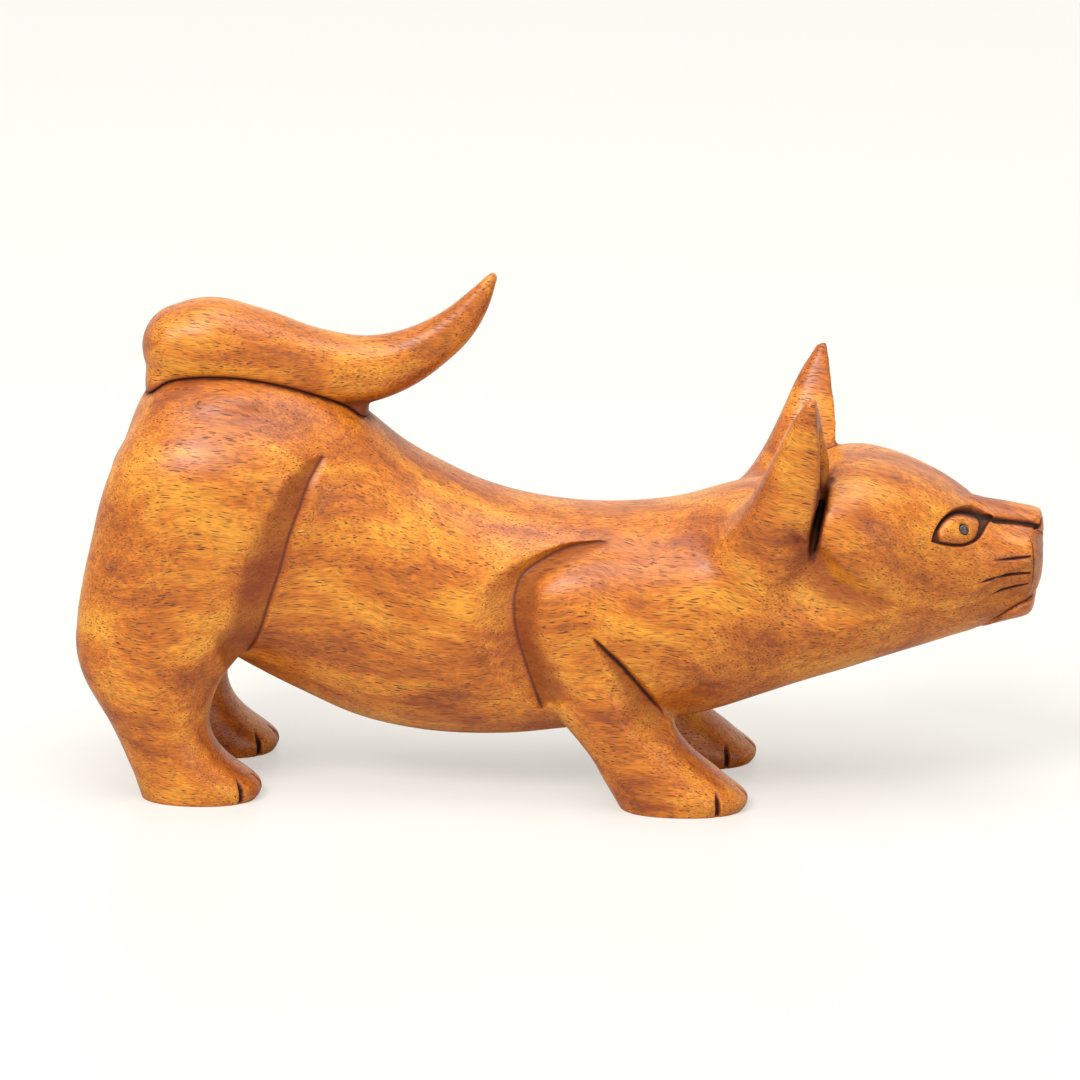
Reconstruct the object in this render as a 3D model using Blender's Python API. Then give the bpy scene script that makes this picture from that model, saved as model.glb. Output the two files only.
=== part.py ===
"""A carved wooden cat in a low stretch, with its tail laid forward over its back.

The frame has +X towards the nose, +Y towards the cat's left and +Z up. The soles stand on Z = 0.
Sizes are millimetres, as a carver would mark them on the block.
"""

from collections import namedtuple

import bmesh
import bpy
import numpy as np
from mathutils import Vector
from mathutils.bvhtree import BVHTree

MM = 0.001

# The whole cat as it stands, and the block that the tables below are marked out on. Every form and
# cut is stretched from the block to the cat.
LENGTH = 252.5
WIDTH = 64.8
HEIGHT = 137.5
BLOCK = (252.5, 64.8, 137.5)
STRETCH = np.array([LENGTH, WIDTH, HEIGHT]) / BLOCK

# The joint between the pieces, and the hidden dowels that locate the tail.
JOINT_GAP = 0.3
PEG_DIAMETER = 6.0
PEG_LENGTH = 22.0
PEG_CHAMFER = 0.7
PEG_DEPTH_IN_BODY = 11.0
REAR_PEG_X = -92.0
FRONT_PEG_X = -65.0
PEG_SIDES = 20

# The dark insets of the eyes, placed on the side of the face.
PUPIL_DIAMETER = 2.6
PUPIL_LENGTH = 5.0
PUPIL_STANDS_OUT = 0.25
PUPIL_X = 106.2
PUPIL_Z = 76.2
PUPIL_CHAMFER = 0.4
PUPIL_SIDES = 16

# Further from the middle than any of the wood.
OUTSIDE = 400.0

# How finely the block is worked, how far it is sanded, and how many faces are kept.
GRID = 0.9
MASS_SANDING = 26
FORM_SANDING = 3
CUTTER_SANDING = 1
HOLLOW_SANDING = 2
TAIL_SANDING = 14
RING_SIDES = 32
RING_STEP = 2.5
CAP_RINGS = 5
CAP_SWEEP = 0.96
BODY_TRIANGLES = 8000
TAIL_TRIANGLES = 1200
SHARP_ANGLE = 0.6

# A slice stands across the block at x. A level lies flat at z. Both give the outline there.
Slice = namedtuple("Slice", "x top bottom out half_width")
Level = namedtuple("Level", "z back front out half_width")
# A bend is a point of a form that follows its own path, with its thickness across the path.
Bend = namedtuple("Bend", "x z half_depth half_width")

TRUNK = [
    Slice(-115, 89, 56, 0, 17),
    Slice(-110.5, 101.6, 50, 0, 22),
    Slice(-104, 109.2, 45, 0, 25.6),
    Slice(-95, 112, 39, 0, 28),
    Slice(-85, 112.6, 33, 0, 28.3),
    Slice(-75, 111.2, 27.5, 0, 27.6),
    Slice(-65, 108, 22.6, 0, 27),
    Slice(-57, 103.8, 18.8, 0, 26.8),
    Slice(-49, 97.2, 16.2, 0, 27),
    Slice(-42, 91.2, 14.8, 0, 27.2),
    Slice(-32, 85, 13.6, 0, 27.6),
    Slice(-21, 79.4, 13.4, 0, 28),
    Slice(-10, 75.8, 14, 0, 28.2),
    Slice(0, 74, 15.4, 0, 28.3),
    Slice(11, 71.8, 16.8, 0, 28.5),
    Slice(22, 71.8, 18, 0, 28.7),
    Slice(32, 75.2, 19.4, 0, 28.6),
    Slice(43, 79.8, 22.4, 0, 28.2),
    Slice(53, 80.8, 26, 0, 27.8),
    Slice(64, 81.5, 30, 0, 27.2),
    Slice(75, 84, 33.6, 0, 26.4),
    Slice(85, 86, 37, 0, 25.2),
    Slice(95, 83.5, 40.1, 0, 21.4),
    Slice(106, 76, 43.6, 0, 16.8),
    Slice(116, 68, 46.7, 0, 12.8),
    Slice(122.4, 60, 48.1, 0, 10.8),
]
TRUNK_CAPS = (4, 2.2)

SKULL = [
    Slice(66, 87, 62, 0, 26.4),
    Slice(70, 89.6, 57, 0, 27.6),
    Slice(75, 91, 52, 0, 28),
    Slice(80, 91.1, 49.5, 0, 27.8),
    Slice(85, 90.2, 47.5, 0, 26.6),
    Slice(91, 88.5, 46.5, 0, 24.2),
    Slice(96, 86.5, 46.5, 0, 21.8),
    Slice(101, 84, 47.5, 0, 19.5),
    Slice(106, 81, 49, 0, 17.4),
    Slice(110, 78.7, 50.5, 0, 15.7),
    Slice(116, 77, 52, 0, 14.1),
    Slice(123.2, 76, 53.4, 0, 12.8),
]
SKULL_CAPS = (2, 3.6)

BRIDGE = [
    Slice(103, 81.5, 68, 0, 6),
    Slice(110, 78.9, 68, 0, 7),
    Slice(117, 77.6, 68, 0, 7.2),
    Slice(125, 76.6, 68, 0, 7),
]
BRIDGE_CAPS = (4, 2)

SHOULDER = [
    Slice(-6, 65, 44, 19, 10),
    Slice(2, 70, 34, 19.2, 12),
    Slice(11, 71.5, 29, 19.2, 12.6),
    Slice(21, 71.5, 27, 19, 12.6),
    Slice(32, 71, 28, 18.4, 12.2),
    Slice(44, 73, 32, 17.4, 11.8),
    Slice(56, 78, 40, 16.6, 12),
    Slice(63, 79, 46, 16.4, 12),
]
SHOULDER_CAPS = (3, 8)

HIND_LEG = [
    Level(104, -101, -72, 9, 11),
    Level(97, -110.5, -62, 12, 14),
    Level(90, -115, -57, 14.3, 15.8),
    Level(80, -118.8, -56, 16, 15.8),
    Level(68, -121.6, -59, 17.4, 14.8),
    Level(57, -124, -65, 18.8, 13.2),
    Level(47, -125.4, -74, 20, 12),
    Level(39, -125.6, -81.6, 20.6, 11.4),
    Level(31, -123.2, -87.6, 21, 11),
    Level(25, -119.8, -89.8, 21, 10.6),
    Level(20, -117, -90.6, 21, 10.3),
    Level(14, -114.2, -88.4, 21, 10.4),
    Level(9, -112, -84.4, 21, 10.9),
    Level(5, -110.2, -79.4, 21, 11.3),
    Level(2, -109, -77, 21, 11.5),
    Level(-2, -108, -76.6, 21, 11.3),
]
HIND_LEG_CAPS = (5, 0)

FORE_LEG = [
    Level(58, -4, 16, 20, 9.8),
    Level(50, -4.6, 14.4, 20.3, 10.6),
    Level(42, -4.4, 15.4, 20.6, 10.8),
    Level(34, -3, 21, 20.8, 10.6),
    Level(28, -0.8, 26.4, 21, 10.3),
    Level(23, 1.8, 31, 21, 10),
    Level(18.5, 5.3, 34.2, 21, 9.9),
    Level(15, 8.2, 37.4, 21, 10.1),
    Level(11, 10.9, 43, 21, 10.7),
    Level(7, 13.1, 48.4, 21, 11.3),
    Level(4, 14.9, 50.8, 21, 11.6),
    Level(1, 16.6, 51.4, 21, 11.5),
    Level(-2, 18, 50.8, 21, 11.2),
]
FORE_LEG_CAPS = (5, 0)

EAR = [
    Level(58, 42, 64, 15.5, 12),
    Level(66, 39.5, 67, 16, 12.8),
    Level(72, 41.5, 68.8, 17, 12.2),
    Level(78, 46.4, 70.6, 18.8, 11),
    Level(84, 50.8, 72.4, 21, 9),
    Level(90, 54.2, 73.2, 22.8, 7.6),
    Level(96, 57, 72.4, 24.6, 6),
    Level(102, 60, 71.2, 26.4, 4.5),
    Level(107, 63, 70, 27.8, 3),
    Level(112, 66.2, 68.9, 28.9, 1.5),
]
# The ear's blade is added after the sanding, so it keeps crisp edges. Its root lies inside the neck.
EAR_BLADE = [
    Level(62, 50, 64, 14, 8),
    Level(68, 49, 67.4, 15.4, 9.2),
    Level(74, 48.6, 69.6, 17.2, 10),
    Level(79, 49.2, 71.2, 19, 10.2),
] + EAR[4:]
EAR_CAPS = (4, 1.4)

# The hollow is scooped in the front of the ear. The slot parts the ear's rim from the cheek.
EAR_HOLLOW = [
    Level(77, 66.4, 76, 23, 2.6),
    Level(83, 65.6, 77, 22.4, 4),
    Level(89, 66, 77, 22.6, 4.6),
    Level(96, 67, 77, 24.6, 3.8),
    Level(103, 68.4, 76, 26.6, 2.2),
]
EAR_SLOT = [
    Level(70, 67.2, 69.4, 32, 7),
    Level(76, 69, 72, 31, 9),
    Level(84, 70.4, 73.8, 31, 11),
    Level(98, 71, 76, 31, 11),
]
HOLLOW_CAPS = (2, 2)

TAIL = [
    Bend(-99, 116, 11.2, 11.6),
    Bend(-93, 117.1, 11.9, 12.3),
    Bend(-82, 115.5, 11.4, 11.8),
    Bend(-66, 111.6, 10.1, 10.2),
    Bend(-51, 110.9, 8.8, 8.6),
    Bend(-41, 113.9, 7.5, 7.2),
    Bend(-33.4, 118.2, 6.2, 5.9),
    Bend(-26.9, 123.4, 5.1, 4.7),
    Bend(-21.6, 129.9, 3.5, 3.2),
    Bend(-17.8, 136, 1.6, 1.6),
]
TAIL_CAPS = (9.8, 2)
# The foot of the tail drops to the back all along the joint and ends in an upright step.
TAIL_FOOT = [
    Slice(-105.8, 116, 98, 0, 9.2),
    Slice(-97, 116, 100, 0, 9.6),
    Slice(-80, 113, 100, 0, 8.4),
    Slice(-64, 110, 98, 0, 7),
    Slice(-51.6, 108, 92, 0, 5.4),
]
TAIL_FOOT_CAPS = (3.6, 1.6)

# How square the forms are across: 2 is an ellipse.
SQUARENESS = 2.2
HEAD_SQUARENESS = 2.6
BLADE_SQUARENESS = 2.8

# A cut is drawn on one view of the block: from the side on x and z, or from above on x and y. Each
# mark is its two coordinates there and the cut's depth. The bevels are how far the cut slopes on
# the left and on the right of its direction, and the reach is what it spans away from the view.
Cut = namedtuple("Cut", "view marks left_bevel right_bevel sharpness reach")
SIDE_VIEW = (0, 2, 1)
PLAN_VIEW = (0, 1, 2)
V_TOOL = 1.0
GOUGE = 2.0
# A side cut fades out where the surface turns away from the side.
FADE_FACING = 0.33
FADE_FLOOR = 0.2
FLANK = (12, 40)
FACE = (4, 40)

CUTS = [
    # The flat chamfer of the thigh, down to the crease where it meets the belly.
    Cut(SIDE_VIEW, [(-56, 99, 0), (-61, 93.6, 2), (-64, 88, 3.6), (-66.6, 80, 4.6), (-70, 68, 4.6),
                    (-74.6, 55, 3.6), (-80, 41, 1)], 2.6, 9, V_TOOL, FLANK),
    # The back of the shoulder, from the withers down behind the foreleg.
    Cut(SIDE_VIEW, [(16, 73.6, 0), (2, 71.6, 1.6), (-6.4, 68, 2.4), (-9, 63, 2.6), (-9, 53, 2.4),
                    (-7, 44, 2.2), (-3.5, 32, 1.6), (0, 26, 0.6)], 5, 3, V_TOOL, FLANK),
    # The front of the foreleg against the chest.
    Cut(SIDE_VIEW, [(9, 49, 0), (14, 43, 1.4), (20, 36.5, 2), (27, 30, 2.2), (34, 25, 2)],
        3, 3, V_TOOL, FLANK),
    # The valley under and behind the cheek.
    Cut(SIDE_VIEW, [(65, 71, 0.6), (69, 66.2, 1.4), (75, 62.4, 1.5), (81, 60.4, 1), (90, 59.6, 0)],
        4, 8, GOUGE, FLANK),
    # The mouth.
    Cut(SIDE_VIEW, [(130, 57.5, 1.5), (122, 54.2, 1.5), (115.3, 50.2, 1.2), (110, 47.4, 0)],
        1.6, 1.8, V_TOOL, (0, 40)),
    # The edge of the nose bridge, from the eye to the nostril.
    Cut(SIDE_VIEW, [(108, 78, 0.4), (113, 76, 1.4), (119, 75, 1.4), (130, 74.4, 1.6)],
        1.8, 1.8, V_TOOL, (5, 14)),
    # The upper and the lower lid.
    Cut(SIDE_VIEW, [(97.6, 71.8, 0.5), (99.8, 76.4, 1.2), (103.4, 79.6, 1.5), (107.5, 80.2, 1.5),
                    (111.6, 77, 1.2), (113.5, 76, 0.6)], 1.6, 1.4, V_TOOL, FACE),
    Cut(SIDE_VIEW, [(97.6, 71.8, 0.5), (102.5, 71.2, 1), (108, 71.8, 1.1), (111.6, 74.6, 1),
                    (112.5, 76.6, 0.6)], 1.3, 1.3, V_TOOL, FACE),
]

# The cuts between the toes, from above: places ahead of the toe tips and out from the leg's line.
FOOT_OUT = 21.0
HIND_TOE_TIP = -76.6
FORE_TOE_TIP = 50.6
TOE_MARKS = (
    ((-9, 0, 0), (-3, 0, 1.8), (3, 0, 1.8)),
    ((-9.5, 4.5, 0), (-6, 8, 1.8), (-3.5, 13, 1.8)),
    ((-9.5, -4.5, 0), (-6, -8, 1.8), (-3.5, -13, 1.8)),
)
TOE_BEVEL = 1.4
TOE_REACH = (-3, 12)

Finish = namedtuple("Finish", "colour roughness")
VARNISHED_WOOD = Finish((0.52, 0.20, 0.05), 0.38)
TAIL_WOOD = Finish((0.54, 0.22, 0.06), 0.38)
DOWEL_WOOD = Finish((0.62, 0.45, 0.26), 0.7)
PUPIL_WOOD = Finish((0.02, 0.018, 0.016), 0.3)


def curve_through(rows):
    """Rows on a smooth curve through the given rows, whose first three values are a place."""
    rows = np.array(rows, float)
    steps = np.linalg.norm(np.diff(rows[:, :3], axis=0), axis=1)
    run = np.concatenate([[0], np.cumsum(steps)])
    slopes = np.gradient(rows, run, axis=0)
    at = np.linspace(0, run[-1], max(2, round(run[-1] / RING_STEP)) + 1)
    i = np.clip(np.searchsorted(run, at, side="right") - 1, 0, len(run) - 2)
    gap = (run[i + 1] - run[i])[:, None]
    t = (at - run[i])[:, None] / gap
    return (
        (1 + 2 * t) * (1 - t) ** 2 * rows[i]
        + t * (1 - t) ** 2 * gap * slopes[i]
        + t**2 * (3 - 2 * t) * rows[i + 1]
        + t**2 * (t - 1) * gap * slopes[i + 1]
    )


def with_round_ends(rows, headings, caps):
    """Add rings that round both ends off over the given lengths."""
    before, after = [], []
    for k in range(1, CAP_RINGS + 1):
        angle = k / CAP_RINGS * np.pi / 2 * CAP_SWEEP
        for cap, end, kept in ((caps[0], 0, before), (caps[1], -1, after)):
            if cap:
                row = rows[end].copy()
                way = -1 if end == 0 else 1
                row[:3] += way * cap * np.sin(angle) * headings[end]
                row[3:5] *= np.cos(angle)
                kept.append((row, headings[end]))
    middle = list(zip(rows, headings))
    return before[::-1] + middle + after


def add_form(bm, rows, headings, caps, side=1, squareness=SQUARENESS):
    """Add a closed form to bm: rings round each row, square to its heading."""
    turn = np.linspace(0, 2 * np.pi, RING_SIDES, endpoint=False)
    across = np.sign(np.cos(turn)) * np.abs(np.cos(turn)) ** (2 / squareness)
    along = np.sign(np.sin(turn)) * np.abs(np.sin(turn)) ** (2 / squareness)
    rings = []
    for row, heading in with_round_ends(rows, headings, caps):
        up = np.array([-heading[2], 0, heading[0]])
        points = row[:3] + np.outer(along * row[3], up) + np.outer(across * row[4], [0, 1, 0])
        points[:, 1] *= side
        rings.append([bm.verts.new(point) for point in points * STRETCH * MM])
    for low, high in zip(rings, rings[1:]):
        for k in range(RING_SIDES):
            n = (k + 1) % RING_SIDES
            bm.faces.new((low[k], low[n], high[n], high[k]))
    bm.faces.new(rings[0][::-1])
    bm.faces.new(rings[-1])


def add_slices(bm, slices, caps, side=1, squareness=SQUARENESS):
    """Add a form given by upright slices across the block."""
    rows = [
        (s.x, s.out, (s.top + s.bottom) / 2, (s.top - s.bottom) / 2, s.half_width) for s in slices
    ]
    rows = curve_through(rows)
    add_form(bm, rows, np.tile([1.0, 0, 0], (len(rows), 1)), caps, side, squareness)


def add_levels(bm, levels, caps, side=1, squareness=SQUARENESS):
    """Add a form given by flat levels, from the top down or from the foot up."""
    rows = [
        ((v.back + v.front) / 2, v.out, v.z, (v.front - v.back) / 2, v.half_width) for v in levels
    ]
    way = np.sign(levels[-1].z - levels[0].z)
    rows = curve_through(rows)
    add_form(bm, rows, np.tile([0.0, 0, way], (len(rows), 1)), caps, side, squareness)


def add_bends(bm, bends, caps):
    """Add a form that follows its own path in the middle plane of the block."""
    rows = curve_through([(b.x, 0, b.z, b.half_depth, b.half_width) for b in bends])
    headings = np.gradient(rows[:, :3], axis=0)
    headings /= np.linalg.norm(headings, axis=1)[:, None]
    add_form(bm, rows, headings, caps)


def object_from(name, bm):
    """Link a new object that holds bm's mesh, with its faces pointing out."""
    bmesh.ops.recalc_face_normals(bm, faces=bm.faces)
    mesh = bpy.data.meshes.new(name)
    bm.to_mesh(mesh)
    bm.free()
    obj = bpy.data.objects.new(name, mesh)
    bpy.context.scene.collection.objects.link(obj)
    return obj


def apply_modifiers(obj):
    """Replace the object's mesh by the evaluated one and clear its modifiers."""
    depsgraph = bpy.context.evaluated_depsgraph_get()
    mesh = bpy.data.meshes.new_from_object(obj.evaluated_get(depsgraph))
    old = obj.data
    obj.modifiers.clear()
    obj.data = mesh
    bpy.data.meshes.remove(old)


def fuse(obj, sanding):
    """Make one skin of the object's overlapping forms and sand it."""
    remesh = obj.modifiers.new("Fuse", "REMESH")
    remesh.mode = "VOXEL"
    remesh.voxel_size = GRID * MM
    smooth = obj.modifiers.new("Sand", "SMOOTH")
    smooth.factor = 0.5
    smooth.iterations = round(sanding)
    apply_modifiers(obj)


def thin_out(obj, triangles):
    """Keep about the given number of triangles, the most where the shape turns."""
    triangulate = obj.modifiers.new("Triangulate", "TRIANGULATE")
    triangulate.quad_method = "BEAUTY"
    apply_modifiers(obj)
    decimate = obj.modifiers.new("Thin", "DECIMATE")
    decimate.ratio = min(1.0, triangles / len(obj.data.polygons))
    apply_modifiers(obj)


def subtract(obj, cutter):
    """Cut the cutter's shape out of the object and remove the cutter."""
    boolean = obj.modifiers.new("Cut", "BOOLEAN")
    boolean.operation = "DIFFERENCE"
    boolean.solver = "EXACT"
    boolean.object = cutter
    apply_modifiers(obj)
    bpy.data.objects.remove(cutter)


def carve(obj, cut):
    """Press one cut into the object's surface, alike on both sides of the middle plane."""
    mesh = obj.data
    count = len(mesh.vertices)
    places = np.empty(count * 3)
    normals = np.empty(count * 3)
    mesh.vertices.foreach_get("co", places)
    mesh.vertices.foreach_get("normal", normals)
    places = places.reshape(-1, 3) / STRETCH / MM
    normals = normals.reshape(-1, 3)
    one_side = places.copy()
    one_side[:, 1] = np.abs(places[:, 1])
    first, second, away = cut.view
    spots = one_side[:, [first, second]]
    marks = curve_through([(m[0], m[1], 0, m[2]) for m in cut.marks])
    nearest = np.full(count, np.inf)
    depth = np.zeros(count)
    for start, end in zip(marks, marks[1:]):
        line = end[:2] - start[:2]
        offset = spots - start[:2]
        t = np.clip(offset @ line / (line @ line), 0, 1)
        gap = np.linalg.norm(offset - np.outer(t, line), axis=1)
        on_left = line[0] * offset[:, 1] - line[1] * offset[:, 0] > 0
        gap = gap / np.where(on_left, cut.left_bevel, cut.right_bevel)
        closer = gap < nearest
        nearest[closer] = gap[closer]
        depth[closer] = (start[3] + t * (end[3] - start[3]))[closer]
    press = depth * np.clip(1 - nearest, 0, 1) ** cut.sharpness
    press[(one_side[:, away] < cut.reach[0]) | (one_side[:, away] > cut.reach[1])] = 0
    if cut.view == SIDE_VIEW:
        facing = normals[:, 1] * np.sign(places[:, 1])
        press *= np.clip(facing / FADE_FACING + FADE_FLOOR, 0, 1)
    places -= normals * press[:, None]
    mesh.vertices.foreach_set("co", (places * STRETCH * MM).ravel())
    mesh.update()


def toe_cuts(tip):
    """The cuts that part the toes of one pair of feet."""
    return [
        Cut(PLAN_VIEW, [(tip + ahead, FOOT_OUT + out, depth) for ahead, out, depth in marks],
            TOE_BEVEL, TOE_BEVEL, V_TOOL, TOE_REACH)
        for marks in TOE_MARKS
    ]


def bench():
    """The bench the cat stands on, as a cutter that leaves the soles flat."""
    bm = bmesh.new()
    bmesh.ops.create_cube(bm, size=OUTSIDE * MM)
    bmesh.ops.translate(bm, vec=(0, 0, -OUTSIDE / 2 * MM), verts=bm.verts)
    return object_from("bench", bm)


def pin_mesh(bm, diameter, length, sides, chamfer=0.0):
    """Add a round pin to bm that stands on its own middle, with its ends chamfered."""
    radius, half = diameter / 2, length / 2
    levels = [(-half, radius - chamfer), (half, radius - chamfer)]
    if chamfer:
        levels[1:1] = [(-half + chamfer, radius), (half - chamfer, radius)]
    rings = []
    for z, r in levels:
        ring = bmesh.ops.create_circle(bm, segments=sides, radius=r * MM)["verts"]
        bmesh.ops.translate(bm, vec=(0, 0, z * MM), verts=ring)
        rings.append(ring)
    for low, high in zip(rings, rings[1:]):
        for k in range(sides):
            n = (k + 1) % sides
            bm.faces.new((low[k], low[n], high[n], high[k]))
    bm.faces.new(rings[0][::-1])
    bm.faces.new(rings[-1])


def pin(name, place, heading, diameter, length, sides, chamfer=0.0):
    """A round pin centred at place, with its length along heading."""
    bm = bmesh.new()
    pin_mesh(bm, diameter, length, sides, chamfer)
    obj = object_from(name, bm)
    obj.rotation_mode = "QUATERNION"
    obj.rotation_quaternion = Vector((0, 0, 1)).rotation_difference(heading)
    obj.location = place
    bpy.context.view_layer.update()
    return obj


def drill(pieces, place, heading, diameter, length, sides):
    """Cut a round hole for a pin through the given pieces, with the joint's clearance."""
    for piece in pieces:
        wide = diameter + 2 * JOINT_GAP
        subtract(piece, pin("drill", place, heading, wide, length + 2 * JOINT_GAP, sides))


def marked(x, y, z):
    """The place of a mark on the block, in metres on the cat."""
    return Vector(np.array([x, y, z]) * STRETCH * MM)


def surface_at(obj, start, heading):
    """Where a line from start first meets the object, and which way the surface faces there."""
    mesh = obj.data
    tree = BVHTree.FromPolygons([v.co for v in mesh.vertices], [p.vertices for p in mesh.polygons])
    place, normal, _, _ = tree.ray_cast(start, heading)
    return place, normal


def shape_masses():
    """The large forms of the block, sanded into one another."""
    bm = bmesh.new()
    add_slices(bm, TRUNK, TRUNK_CAPS)
    for side in (-1, 1):
        add_levels(bm, EAR, EAR_CAPS, side)
        add_slices(bm, SHOULDER, SHOULDER_CAPS, side)
        add_levels(bm, HIND_LEG, HIND_LEG_CAPS, side)
        add_levels(bm, FORE_LEG, FORE_LEG_CAPS, side)
    masses = object_from("masses", bm)
    fuse(masses, MASS_SANDING)
    return masses


def shape_hollows():
    """The waste that comes out of the ears and from between the ears and the cheeks."""
    bm = bmesh.new()
    for side in (-1, 1):
        add_levels(bm, EAR_SLOT, HOLLOW_CAPS, side)
        add_levels(bm, EAR_HOLLOW, HOLLOW_CAPS, side)
    hollows = object_from("hollows", bm)
    fuse(hollows, CUTTER_SANDING)
    return hollows


def shape_body():
    """The whole block before its holes are drilled."""
    masses = shape_masses()
    bm = bmesh.new()
    bm.from_mesh(masses.data)
    bpy.data.objects.remove(masses)
    add_slices(bm, SKULL, SKULL_CAPS, 1, HEAD_SQUARENESS)
    add_slices(bm, BRIDGE, BRIDGE_CAPS)
    for side in (-1, 1):
        add_levels(bm, EAR_BLADE, EAR_CAPS, side, BLADE_SQUARENESS)
    body = object_from("body", bm)
    fuse(body, FORM_SANDING)
    subtract(body, shape_hollows())
    fuse(body, HOLLOW_SANDING)
    for cut in CUTS + toe_cuts(HIND_TOE_TIP) + toe_cuts(FORE_TOE_TIP):
        carve(body, cut)
    return body


def shape_tail(body):
    """The tail with its foot cut to the back it sits on."""
    bm = bmesh.new()
    add_bends(bm, TAIL, TAIL_CAPS)
    add_slices(bm, TAIL_FOOT, TAIL_FOOT_CAPS)
    tail = object_from("tail", bm)
    fuse(tail, TAIL_SANDING)
    thin_out(tail, TAIL_TRIANGLES)
    seat = body.copy()
    seat.data = body.data.copy()
    bpy.context.scene.collection.objects.link(seat)
    swell = seat.modifiers.new("Gap", "DISPLACE")
    swell.strength = JOINT_GAP * MM
    swell.mid_level = 0
    apply_modifiers(seat)
    subtract(tail, seat)
    return tail


def finish(obj, look):
    """Give the object its own material."""
    material = bpy.data.materials.new(obj.name)
    material.use_nodes = True
    shader = material.node_tree.nodes["Principled BSDF"]
    shader.inputs["Base Color"].default_value = (*look.colour, 1)
    shader.inputs["Roughness"].default_value = look.roughness
    shader.inputs["Metallic"].default_value = 0
    obj.data.materials.clear()
    obj.data.materials.append(material)
    obj.data.shade_smooth()
    obj.data.set_sharp_from_angle(angle=SHARP_ANGLE)


def main():
    """Make every piece of the cat and stand it on its middle."""
    for obj in list(bpy.data.objects):
        bpy.data.objects.remove(obj)
    body = shape_body()
    eyes = {}
    for name, side in (("right_pupil", -1), ("left_pupil", 1)):
        start = marked(PUPIL_X, side * OUTSIDE, PUPIL_Z)
        eyes[name] = surface_at(body, start, Vector((0, -side, 0)))
    thin_out(body, BODY_TRIANGLES)
    subtract(body, bench())
    tail = shape_tail(body)
    pieces = [(body, VARNISHED_WOOD), (tail, TAIL_WOOD)]
    up = Vector((0, 0, 1))
    pegs = {}
    for name, x in (("rear_tail_peg", REAR_PEG_X), ("front_tail_peg", FRONT_PEG_X)):
        seat, _ = surface_at(body, marked(x, 0, OUTSIDE), -up)
        pegs[name] = seat + up * (PEG_LENGTH / 2 - PEG_DEPTH_IN_BODY) * MM
    for name, place in pegs.items():
        drill((body, tail), place, up, PEG_DIAMETER, PEG_LENGTH, PEG_SIDES)
        peg = pin(name, place, up, PEG_DIAMETER, PEG_LENGTH, PEG_SIDES, PEG_CHAMFER)
        pieces.append((peg, DOWEL_WOOD))
    for name, (place, normal) in eyes.items():
        middle = place + normal * (PUPIL_STANDS_OUT - PUPIL_LENGTH / 2) * MM
        drill((body,), middle, normal, PUPIL_DIAMETER, PUPIL_LENGTH, PUPIL_SIDES)
        pupil = pin(name, middle, normal, PUPIL_DIAMETER, PUPIL_LENGTH, PUPIL_SIDES, PUPIL_CHAMFER)
        pieces.append((pupil, PUPIL_WOOD))

    corners = [v.co for piece in (body, tail) for v in piece.data.vertices]
    low = [min(c[axis] for c in corners) for axis in (0, 1)]
    high = [max(c[axis] for c in corners) for axis in (0, 1)]
    cat = bpy.data.objects.new("cat", None)
    cat.location = (-(low[0] + high[0]) / 2, -(low[1] + high[1]) / 2, 0)
    bpy.context.scene.collection.objects.link(cat)
    for obj, wood in pieces:
        finish(obj, wood)
        obj.parent = cat


main()
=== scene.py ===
"""A carved and varnished wooden cat in a low stretch, with its tail laid forward over its back.

The block is worked as a carver works it: large forms are fused and sanded, the ears are hollowed,
wide bevels are pared, and fine strokes are cut along their paths. Marks on the block are millimetres,
with +X towards the nose, +Y towards the cat's left and +Z up. The soles stand on Z = 0.
"""

from __future__ import annotations

import logging
import math
from dataclasses import dataclass, field
from enum import Enum
from typing import Callable

import bmesh
import bpy
import numpy as np
from mathutils import Matrix, Vector
from mathutils.bvhtree import BVHTree
from mathutils.kdtree import KDTree


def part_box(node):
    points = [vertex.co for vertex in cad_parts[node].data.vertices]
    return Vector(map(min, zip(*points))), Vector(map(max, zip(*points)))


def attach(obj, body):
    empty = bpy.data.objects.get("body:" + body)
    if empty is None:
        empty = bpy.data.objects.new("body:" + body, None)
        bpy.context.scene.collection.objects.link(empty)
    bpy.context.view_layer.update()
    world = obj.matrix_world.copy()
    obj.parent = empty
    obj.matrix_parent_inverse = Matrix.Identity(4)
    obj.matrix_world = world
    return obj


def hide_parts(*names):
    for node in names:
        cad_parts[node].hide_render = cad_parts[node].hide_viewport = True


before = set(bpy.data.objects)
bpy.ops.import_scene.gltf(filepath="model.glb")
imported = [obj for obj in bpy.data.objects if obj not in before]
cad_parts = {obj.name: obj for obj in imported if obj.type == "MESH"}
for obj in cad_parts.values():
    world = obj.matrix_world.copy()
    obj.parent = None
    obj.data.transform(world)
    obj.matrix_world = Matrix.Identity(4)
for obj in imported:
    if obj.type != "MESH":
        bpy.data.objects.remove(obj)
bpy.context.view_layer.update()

log = logging.getLogger("wooden_cat")

MM = 0.001
# A joint between two pieces of the carving is this wide.
JOINT_GAP = 0.3
# Dirt and painted shade lie this far out from such a joint.
JOINT_DIRT_AND_SHADE = 2.2
# A triangle narrower than this, in millimetres, is left over from a cut.
SLIVER = 0.01
# Further from the middle than any of the wood.
OUTSIDE = 400.0
SIDES = (-1, 1)
# The CAD nodes of the two dowels that hold the tail.
DOWELS = ("rear_tail_peg", "front_tail_peg")


class View(Enum):
    """The view that a mark is drawn on: the two axes drawn, then the axis looked along."""

    SIDE = (0, 2, 1)
    FRONT = (1, 2, 0)


class Edge(Enum):
    """The shape that a tool leaves: the power by which the cut deepens from its rim."""

    FLAT = 0.15
    KNIFE = 1.0


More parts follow.
